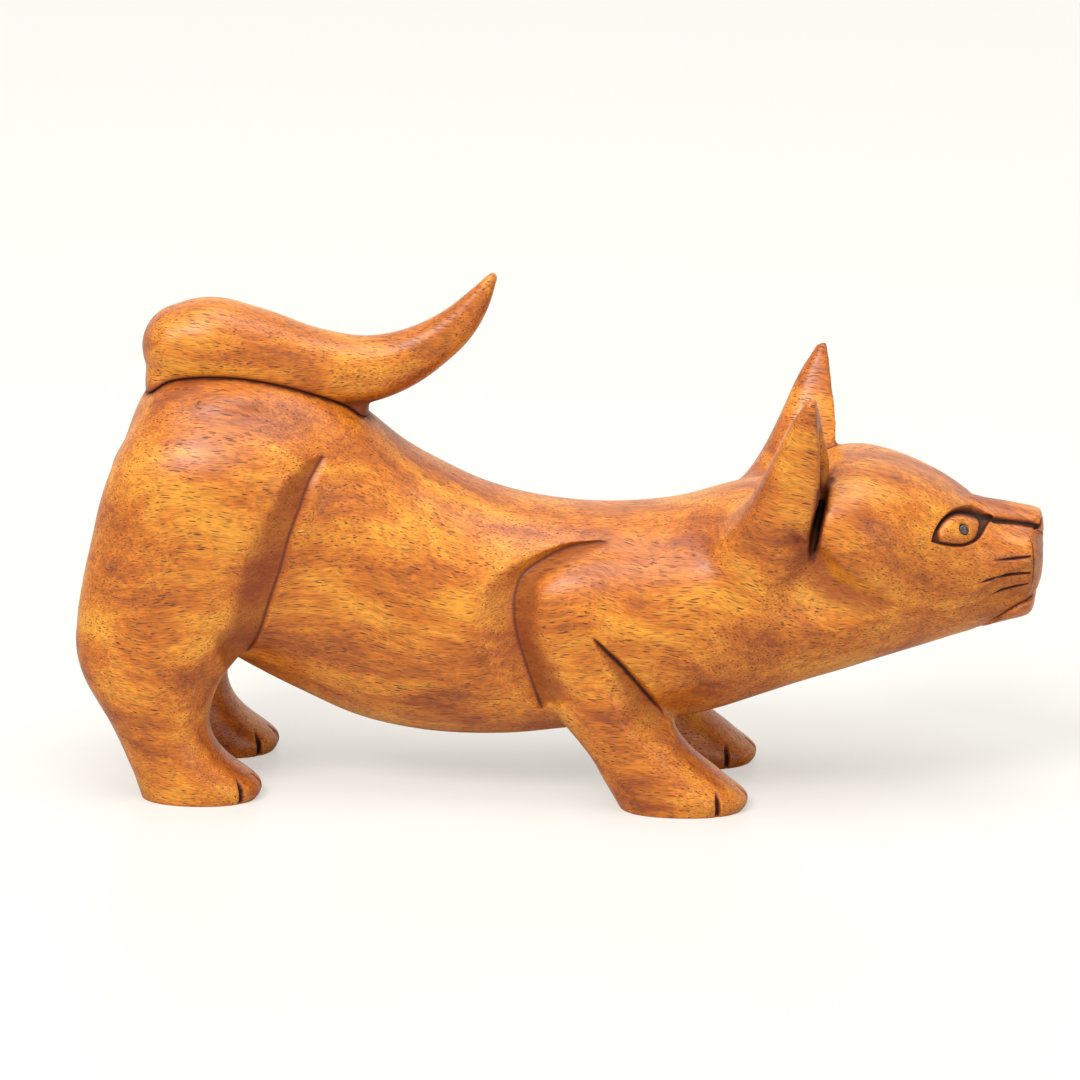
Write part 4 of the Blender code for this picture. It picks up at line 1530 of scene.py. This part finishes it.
@dataclass
class Head:
    """The head, with the bridge of the nose, the eyes, the whisker cuts and the mouth."""

    skull: tuple[Slice, ...] = (
        Slice(66, 87, 62, 26.4), Slice(70, 89.6, 57, 27.6), Slice(75, 91, 52, 28),
        Slice(80, 91.1, 49.5, 27.8), Slice(85, 90.2, 47.5, 26.6), Slice(91, 88.5, 46.5, 24.2),
        Slice(96, 86.5, 46.5, 21.8), Slice(101, 84, 47.5, 19.5), Slice(106, 80.6, 49, 17.4),
        Slice(110, 77.6, 50.5, 15.9), Slice(116, 74.9, 52, 14.4), Slice(123.2, 73.6, 53.4, 13.1),
    )
    skull_caps: tuple[float, float] = (2, 3.6)
    skull_squareness: float = 2.6
    bridge: tuple[Slice, ...] = (
        Slice(102, 82, 66, 5.6), Slice(110, 79.4, 66, 6.2), Slice(117, 78.3, 66, 6.2),
        Slice(125, 76.8, 66, 6),
    )
    bridge_caps: tuple[float, float] = (4, 1.6)
    bridge_squareness: float = 3.2
    eye: EyeCut = EyeCut((
        (98.4, 73.2, 0.9), (98.9, 75.1, 1.1), (99.6, 76.5, 1.3), (100.7, 77.9, 1.5), (102.1, 78.9, 1.6),
        (103.8, 79.4, 1.7), (105.8, 79.2, 1.8), (107.8, 78.5, 1.9), (109.6, 77.7, 1.9),
        (111.4, 76.7, 1.4), (112.8, 76, 0.9), (111.9, 75.1, 1.3), (111.2, 74.1, 1.3), (110.4, 73, 1.1),
        (109.3, 72.1, 1), (107.8, 71.5, 0.9), (106.2, 71.2, 0.9), (104.1, 71.4, 0.9), (101.5, 72, 0.9),
        (99.7, 72.6, 0.9),
    ), (105, 75.2, 4.8))

    def forms(self) -> list[Form]:
        """The head's forms, added after the sanding."""
        skull = Form(self.skull, self.skull_caps, 1, self.skull_squareness)
        bridge = Form(self.bridge, self.bridge_caps, 1, self.bridge_squareness)
        return [skull, bridge]

    def cuts(self) -> list[WallCut]:
        """The valley under the cheek, whose rim is on the left."""
        return [
            # The cut paints shade in the valley's crease and on its wall under the cheek.
            WallCut((
                (66.4, 73, 25.2, 1.5, 0.6), (68.4, 70.1, 23.4, 1.5, 0.45), (70.3, 66.6, 22.7, 1.4, 0.34),
                (72.9, 63.1, 22.4, 1.3, 0.3), (76.3, 60.7, 22.5, 1.2, 0.28), (80.2, 59.4, 23, 1, 0.28),
                (84, 58.5, 23.3, 0.8, 0.3), (87.9, 57.3, 23, 0.6, 0.3), (91, 56.6, 23.1, 0.5, 0.4),
            ), 1.2, 0.25, (0.0, 0.34), 5, 4),
        ]

    def bevels(self) -> list[Bevel]:
        """The lower jaw, set back under the lip."""
        return [
            Bevel((
                (130, 57.4, 1), (124.3, 55.1, 1), (121.2, 54, 1), (118.1, 52, 0.9), (114.8, 49.4, 0.8),
                (111.3, 46.6, 0.4), (108, 44.4, 0),
            ), 0.7, 10, Edge.FLAT, 0.25),
        ]

    def strokes(self) -> list[Strokes]:
        """The fine cuts of the face."""
        whiskers = (
            Stroke(((112.6, 66.6, 0), (115.9, 66.8, 0.7), (119.8, 67.1, 1), (123.5, 67.4, 0.8))),
            Stroke(((109.6, 60.6, 0), (112.2, 61.3, 0.8), (116, 62.3, 0.95), (119.6, 62.7, 1),
                    (123.4, 62.8, 0.8))),
            Stroke(((112.8, 56.5, 0.1), (116.1, 58.1, 1), (119.3, 59, 1), (123, 59.7, 0.7))),
        )
        bridge = (
            Stroke(((110.6, 76.4, 0), (112.2, 75.9, 0.7), (113.8, 75.5, 1), (115.6, 75.2, 0.9),
                    (118.2, 74.9, 0.8), (120.8, 74.6, 0.8), (123.4, 74.2, 0.9), (125, 73.8, 0.7))),
        )
        mouth = (
            Stroke(((124.3, 55.1, 1), (121.2, 54, 1), (118.1, 52, 1), (114.8, 49.4, 0.9),
                    (111.3, 46.6, 0.6), (109.4, 45.2, 0))),
            Stroke(((0, 57, 1), (4.5, 56.6, 1), (8, 56.2, 0)), View.FRONT),
        )
        nostrils = (
            Stroke(((1.8, 74.8, 0.5), (3.2, 74.4, 1), (4.6, 73.6, 1), (6, 73.2, 0.6)), View.FRONT),
        )
        lip = (
            Stroke(((0, 71.4, 0.9), (0, 66, 1), (0, 58, 1)), View.FRONT),
            Stroke(((6, 72.6, 0.5), (3.4, 71.2, 0.9), (0, 70.2, 1)), View.FRONT),
            Stroke(((122.6, 72.7, 0.2), (123.8, 70.7, 0.6), (124.3, 68.1, 0.8), (124.4, 65, 0.9),
                    (124.2, 61.4, 0.8), (123.8, 57.6, 0.4))),
        )
        return [
            Strokes("bridge_cuts", bridge, 1.25, 1.0, stain=0.9),
            Strokes("mouth_cuts", mouth, 0.5, 0.45, stain=0.4),
            Strokes("nostril_cuts", nostrils, 0.9, 1.1),
            Strokes("lip_cuts", lip, 0.6, 0.4, stain=0.6),
            Strokes("whisker_cuts", whiskers, 0.6, 0.6, stain=0.85),
        ]


@dataclass
class Tail:
    """The tail, a piece of its own, seated on the rump."""

    bends: tuple[Bend, ...] = (
        Bend(-99, 116, 11.2, 11.6), Bend(-93, 117.1, 11.9, 12.3), Bend(-82, 115.5, 11.4, 11.8),
        Bend(-66, 111.6, 10.1, 10.2), Bend(-51, 110.9, 8.8, 8.6), Bend(-41, 113.9, 7.5, 7.2),
        Bend(-33.4, 118.2, 6.2, 5.9), Bend(-26.9, 123.4, 5.1, 4.7), Bend(-21.6, 129.9, 3.5, 3.2),
        Bend(-17.8, 136, 1.6, 1.6),
    )
    caps: tuple[float, float] = (10.6, 2)
    foot: tuple[Slice, ...] = (
        Slice(-105.4, 116, 98, 9.4), Slice(-97, 116, 100, 9.8), Slice(-80, 113, 100, 8.4),
        Slice(-64, 110, 98, 6.4), Slice(-51.4, 109, 92, 4.8),
    )
    foot_caps: tuple[float, float] = (3.4, 1.2)
    step: tuple[float, float] = (-59, 106.5)
    grid: float = 0.55
    sanding: int = 28

    def carve(self, body: bpy.types.Object) -> bpy.types.Object:
        """Make the tail and cut its foot to the back.

        Args:
            body: The carved body that it sits on.

        Returns:
            The tail.
        """
        tail = block_of("tail_carved", [Form(self.bends, self.caps), Form(self.foot, self.foot_caps)])
        fuse(tail, self.grid, self.sanding)
        seat = body.copy()
        seat.data = body.data.copy()
        bpy.context.scene.collection.objects.link(seat)
        swell = seat.modifiers.new("Gap", "DISPLACE")
        swell.strength = JOINT_GAP * MM
        swell.mid_level = 0
        apply_modifiers(seat)
        subtract(tail, seat)
        # Painted shade darkens the front end of the foot, under the tail's overhang.
        x, _, z = surface(tail)[0].T
        step = np.clip((x - self.step[0]) / 4, 0, 1) * np.clip((self.step[1] - z) / 3, 0, 1)
        set_shade_and_dirt(tail, 0.5 * step)
        return tail


@dataclass
class Eyes:
    """The dark pupils, set in the carved eyes."""

    diameter: float = 2.6
    length: float = 5.0
    stands_out: float = 0.25
    dome: float = 0.5
    x: float = 105.8
    z: float = 75.2
    sides: int = 32

    def places(self, body: bpy.types.Object) -> dict[str, tuple[Vector, Vector]]:
        """Find the eyes on the body.

        Args:
            body: The carved body.

        Returns:
            Each pupil's middle and which way it looks, by the name of its CAD node.
        """
        skin = tree_of(body)
        found = {}
        for node, side in (("right_pupil", -1), ("left_pupil", 1)):
            start = Vector((self.x, side * OUTSIDE, self.z)) * MM
            place, normal = skin.ray_cast(start, Vector((0, -side, 0)))[:2]
            found[node] = (place + normal * (self.stands_out - self.length / 2) * MM, normal)
        return found


@dataclass
class CarvedBody:
    """The body, one carved block made of the trunk, the legs, the ears and the head."""

    trunk: Trunk = field(default_factory=Trunk)
    legs: Legs = field(default_factory=Legs)
    ears: Ears = field(default_factory=Ears)
    head: Head = field(default_factory=Head)
    grid: float = 0.8
    mass_sanding: int = 33
    form_sanding: int = 4
    hollow_sanding: int = 3
    join_sanding: int = 24
    ear_sanding: int = 70
    triangles: int = 190000

    def carve(self, wood: bpy.types.Material) -> bpy.types.Object:
        """Make the body, before the sockets are drilled.

        Args:
            wood: Its material.

        Returns:
            The body.
        """
        masses = self.trunk.forms() + self.ears.forms() + self.legs.forms()
        rough = block_of("rough", masses)
        fuse(rough, self.grid, self.mass_sanding)
        bm = bmesh.new()
        bm.from_mesh(rough.data)
        bpy.data.objects.remove(rough)
        for form in self.ears.blades() + self.legs.feet():
            form.add_to(bm)
        trunk = object_from("trunk_carved", bm)
        fuse(trunk, self.grid, self.form_sanding)
        self.sand_joins(trunk)
        subtract(trunk, self.ears.ear_waste())
        subtract(trunk, self.ears.hollows())
        head = block_of("head_carved", self.head.forms())
        fuse(head, self.grid, 1)
        subtract(head, self.ears.cheek_waste())
        bm = bmesh.new()
        for part in (trunk, head):
            bm.from_mesh(part.data)
            bpy.data.objects.remove(part)
        body = object_from("body_carved", bm)
        fuse(body, self.grid, self.hollow_sanding)
        x, y, z = surface(body)[0].T
        # The head's join with the throat.
        sand(body, within(z, 36, 66, 8) * within(x, 58, 112, 8), self.join_sanding)
        # The slots by the ears get painted shade.
        set_shade_and_dirt(body, self.ears.slot_shade(x, np.abs(y), z))
        self.refine(body, self.near_cuts)
        self.refine(body, self.near_eyes)
        for cut in self.trunk.cuts() + self.head.cuts():
            cut_walls(body, cut)
        for bevel in self.head.bevels():
            pare(body, bevel)
        cut_eyes(body, self.head.eye)
        tool = StrokeTool()
        for cuts in [self.legs.strokes(), *self.head.strokes()]:
            tool.cut(body, cuts, wood)
        return body

    def sand_joins(self, body: bpy.types.Object) -> None:
        """Sand the roots of the ears and the feet, and the rump under the tail.

        Args:
            body: The body.
        """
        x, _, z = surface(body)[0].T
        # The ears' roots lie from 58 to 91 mm up, and from 32 to 73 mm along the block.
        sand(body, within(z, 58, 91, 11) * within(x, 32, 73, 4), self.ear_sanding)
        feet = within(z, 9, 24, 3) * (x < 60)
        rump = within(z, 84, 114, 6) * within(x, -140, -92, 8)
        sand(body, np.maximum(feet, rump), self.join_sanding)

    def near_cuts(self, places: np.ndarray) -> np.ndarray:
        """Find the places near a cut, in the face or in the toes.

        Args:
            places: The places, in millimetres.

        Returns:
            Whether each place is near a cut.
        """
        x, z = places[:, 0], places[:, 2]
        # The face lies past 95 mm, and the toes under 13 mm at the front of each foot.
        near = (x > 95) | ((z < 13) & (((x > -88) & (x < -72)) | ((x > 36) & (x < 56))))
        for cut in self.trunk.cuts() + self.head.cuts():
            gap = beside(places[:, [0, 2]], path_on(cut.marks, 2.0))[0]
            near |= (gap < 2.5) & (np.abs(places[:, 1]) > 12)
        return near

    def near_eyes(self, places: np.ndarray) -> np.ndarray:
        """Find the places round the eyes and the nose.

        Args:
            places: The places, in millimetres.

        Returns:
            Whether each place is there.
        """
        return (places[:, 0] > 96.5) & (places[:, 2] > 56)

    def refine(self, body: bpy.types.Object, wanted: Callable[[np.ndarray], np.ndarray]) -> None:
        """Halve the size of the faces in some places.

        Args:
            body: The body.
            wanted: Says for each place whether it is one of them.
        """
        near = wanted(surface(body)[0])
        bm = bmesh.new()
        bm.from_mesh(body.data)
        fine = [e for e in bm.edges if near[e.verts[0].index] and near[e.verts[1].index]]
        bmesh.ops.subdivide_edges(bm, edges=fine, cuts=1, use_grid_fill=True, smooth=0.0)
        bm.to_mesh(body.data)
        bm.free()


@dataclass(frozen=True)
class Lamp:
    """A square soft lamp.

    Attributes:
        name: Its name.
        place: Where it hangs, in metres.
        aim: What it points at, in metres.
        size: Its side, in metres.
        power: In watts.
    """

    name: str
    place: tuple[float, float, float]
    aim: tuple[float, float, float]
    size: float
    power: float


@dataclass
class Studio:
    """The camera at the photograph's angle, three soft lamps and a pale floor.

    Attributes:
        target: A point in the middle of the cat, in millimetres.
        aside: How far the camera's aim lies to the right of it.
        raised: How far the aim lies above it.
        elevation: How far the camera looks down, in degrees.
        azimuth: How far it stands round towards the nose, in degrees.
        distance: How far off it stands, in millimetres.
        frame_width: How wide a strip it sees at the target, in millimetres.
        paper: The colour of the surround.
        ambient: How much light the surround gives.
        floor_paper: The floor's colour.
        floor_bounce: Its colour for the light that it throws back at the cat.
        floor_glow: How far the floor fades into the surround.
        floor_half: Half the floor's side, in metres.
        lamps: The lamps.
    """

    target: tuple[float, float, float] = (-0.78, -0.03, 62.0)
    aside: float = -4.99
    raised: float = 3.41
    elevation: float = 16.0
    azimuth: float = 4.5
    distance: float = 2200.0
    frame_width: float = 283.4
    paper: str = "#fdfcf7"
    ambient: float = 0.28
    floor_paper: str = "#f2efe8"
    floor_bounce: str = "#cbc8c2"
    floor_glow: float = 0.5
    floor_half: float = 4.0
    lamps: tuple[Lamp, ...] = (
        Lamp("key", (-1.5, -2.5, 3.1), (0, 0, 0.05), 1.6, 116.0),
        Lamp("fill", (1.7, -2.6, 0.9), (0, 0, 0.07), 1.4, 12.0),
        Lamp("overhead", (0.2, -0.2, 3.2), (0, 0, 0.05), 2.6, 72.0),
    )

    def build(self) -> None:
        """Make the camera, the lamps, the world and the floor."""
        self.camera()
        self.world()
        self.floor()
        for lamp in self.lamps:
            self.hang(lamp)

    def camera(self) -> None:
        """Place the camera."""
        up_angle, turn = math.radians(self.elevation), math.radians(self.azimuth)
        right = Vector((math.cos(turn), math.sin(turn), 0))
        ahead = Vector((-math.sin(turn) * math.cos(up_angle), math.cos(turn) * math.cos(up_angle),
                        -math.sin(up_angle)))
        above = right.cross(ahead)
        aim = Vector(self.target) + right * self.aside + above * self.raised
        data = bpy.data.cameras.new("camera")
        data.sensor_width = 36.0
        data.lens = data.sensor_width * self.distance / self.frame_width
        data.clip_start = 0.05
        data.clip_end = 50.0
        camera = link("camera", data)
        turn_matrix = Matrix((right, above, -ahead)).transposed().to_4x4()
        camera.matrix_world = Matrix.Translation((aim - ahead * self.distance) * MM) @ turn_matrix
        bpy.context.scene.camera = camera

    def hang(self, lamp: Lamp) -> None:
        """Hang a lamp.

        Args:
            lamp: The lamp.
        """
        data = bpy.data.lights.new(lamp.name, "AREA")
        data.size = lamp.size
        data.energy = lamp.power
        hung = link(lamp.name, data)
        hung.location = lamp.place
        way = Vector(lamp.aim) - Vector(lamp.place)
        hung.rotation_euler = way.to_track_quat("-Z", "Y").to_euler()

    def world(self) -> None:
        """Surround the scene with white paper, plainly lit."""
        world = bpy.data.worlds.new("paper_surround")
        world.use_nodes = True
        tree = world.node_tree
        tree.nodes.clear()
        rays = add(tree, "ShaderNodeLightPath").node.outputs
        seen = maths(tree, "MAXIMUM", rays["Is Camera Ray"], rays["Is Glossy Ray"])
        seen = maths(tree, "MAXIMUM", seen, rays["Is Transmission Ray"])
        paper = linear(self.paper)
        light = add(tree, "ShaderNodeBackground", {"Color": paper, "Strength": self.ambient})
        shown = add(tree, "ShaderNodeBackground", {"Color": paper, "Strength": 1.0})
        mixed = add(tree, "ShaderNodeMixShader", {0: seen, 1: light, 2: shown})
        add(tree, "ShaderNodeOutputWorld", {"Surface": mixed})
        bpy.context.scene.world = world

    def floor(self) -> None:
        """Lay the floor, which fades into the surround but keeps the cat's shadow."""
        bm = bmesh.new()
        bmesh.ops.create_grid(bm, x_segments=1, y_segments=1, size=self.floor_half)
        floor = object_from("floor", bm)
        material, tree, shader = new_material("white_paper")
        shader.inputs["Roughness"].default_value = 0.3
        shader.inputs["Specular IOR Level"].default_value = 0.25
        glow = add(tree, "ShaderNodeEmission", {"Color": linear(self.paper), "Strength": 1.0})
        seen = add(tree, "ShaderNodeLightPath", out="Is Camera Ray")
        colour = blend(tree, seen, linear(self.floor_bounce), linear(self.floor_paper))
        tree.links.new(colour, shader.inputs["Base Color"])
        share = maths(tree, "MULTIPLY", seen, self.floor_glow)
        mixed = add(tree, "ShaderNodeMixShader", {0: share, 1: shader.outputs[0], 2: glow})
        tree.links.new(mixed, tree.nodes["Material Output"].inputs["Surface"])
        floor.data.materials.append(material)


@dataclass
class Cat:
    """The whole figurine: the body, the tail on its two dowels, and the pupils."""

    body: CarvedBody = field(default_factory=CarvedBody)
    tail: Tail = field(default_factory=Tail)
    eyes: Eyes = field(default_factory=Eyes)
    wood: VarnishedSuar = VarnishedSuar()
    tail_wood: VarnishedSuar = VarnishedSuar("varnished_suar_tail", shift=140.0)
    dowel: BareDowel = BareDowel()
    pupil: StainedPupil = StainedPupil()

    def build(self) -> None:
        """Make every piece and tie it to the frame."""
        wood = self.wood.material()
        body = self.body.carve(wood)
        tail = self.tail.carve(body)
        low, high = (np.array(corner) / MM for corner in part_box("body"))
        places, _ = surface(body)
        # The soles' height is right already, and the rest is centred on the CAD body.
        shift = (low + high) / 2 - (places.min(axis=0) + places.max(axis=0)) / 2
        shift[2] = 0
        for piece in (body, tail):
            move_to(piece, surface(piece)[0] + shift)
        eyes = self.eyes.places(body)
        # Painted shade in the hollows, and dirt with painted shade at the tail's joint, join the
        # darkening of the cuts.
        stain = np.maximum(shade_and_dirt_of(body), hollow_shade(body))
        stain = np.maximum(stain, joint_dirt_and_shade(body, tail))
        fine = surface(body)[0]
        tail_places = surface(tail)[0]
        tail_shade_and_dirt = np.maximum(hollow_shade(tail), joint_dirt_and_shade(tail, body))
        tail_shade_and_dirt = np.maximum(shade_and_dirt_of(tail), tail_shade_and_dirt)
        # The cuts in the face with deep painted shade, past 90 mm, keep all their triangles.
        thin_out(body, self.body.triangles, (shade_and_dirt_of(body) < 0.3) | (fine[:, 0] < 90))
        subtract(body, self.bench())
        self.drill(body, tail, eyes)
        drop_slivers(tail)
        set_shade_and_dirt(body, carried(fine, stain, surface(body)[0]))
        set_shade_and_dirt(tail, carried(tail_places, tail_shade_and_dirt, surface(tail)[0]))
        dress(body, wood, "carved_wood", "body")
        dress(tail, self.tail_wood.material(), "tail_wood", "tail")
        self.dress_pins(eyes)

    def drill(self, body: bpy.types.Object, tail: bpy.types.Object,
              eyes: dict[str, tuple[Vector, Vector]]) -> None:
        """Drill the sockets of the pupils and of the dowels.

        Args:
            body: The body.
            tail: The tail.
            eyes: Each pupil's middle and which way it looks.
        """
        eye = self.eyes
        for place, way in eyes.values():
            wide, long = eye.diameter + 2 * JOINT_GAP, eye.length + 2 * JOINT_GAP
            subtract(body, pin("drill", place, way, wide, long, eye.sides))
        for node in DOWELS:
            low, high = (Vector(corner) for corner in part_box(node))
            wide, long = ((high - low)[axis] / MM + 2 * JOINT_GAP for axis in (0, 2))
            for piece in (body, tail):
                hole = pin("drill", (low + high) / 2, Vector((0, 0, 1)), wide, long, eye.sides)
                subtract(piece, hole)

    def dress_pins(self, eyes: dict[str, tuple[Vector, Vector]]) -> None:
        """Set the pupils and finish the dowels.

        Args:
            eyes: Each pupil's middle and which way it looks.
        """
        eye = self.eyes
        stained = self.pupil.material()
        for node, (place, way) in eyes.items():
            piece = pin(f"{node}_set", place, way, eye.diameter, eye.length, eye.sides, eye.dome)
            dress(piece, stained, "pupil_wood", node)
        dowel = self.dowel.material()
        for node in DOWELS:
            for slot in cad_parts[node].material_slots:
                slot.material = dowel
            log.info("%s: the CAD solid, in %s", node, self.dowel.name)

    def bench(self) -> bpy.types.Object:
        """The bench under the soles, as a cutter."""
        bm = bmesh.new()
        bmesh.ops.create_cube(bm, size=OUTSIDE * MM)
        bmesh.ops.translate(bm, vec=(0, 0, -OUTSIDE / 2 * MM), verts=bm.verts)
        return object_from("bench", bm)


def main() -> None:
    """Build the cat and its studio, and set the Standard view transform."""
    logging.basicConfig(level=logging.INFO, format="%(name)s: %(message)s")
    Cat().build()
    Studio().build()
    bpy.context.scene.view_settings.view_transform = "Standard"


if __name__ == "__main__":
    main()
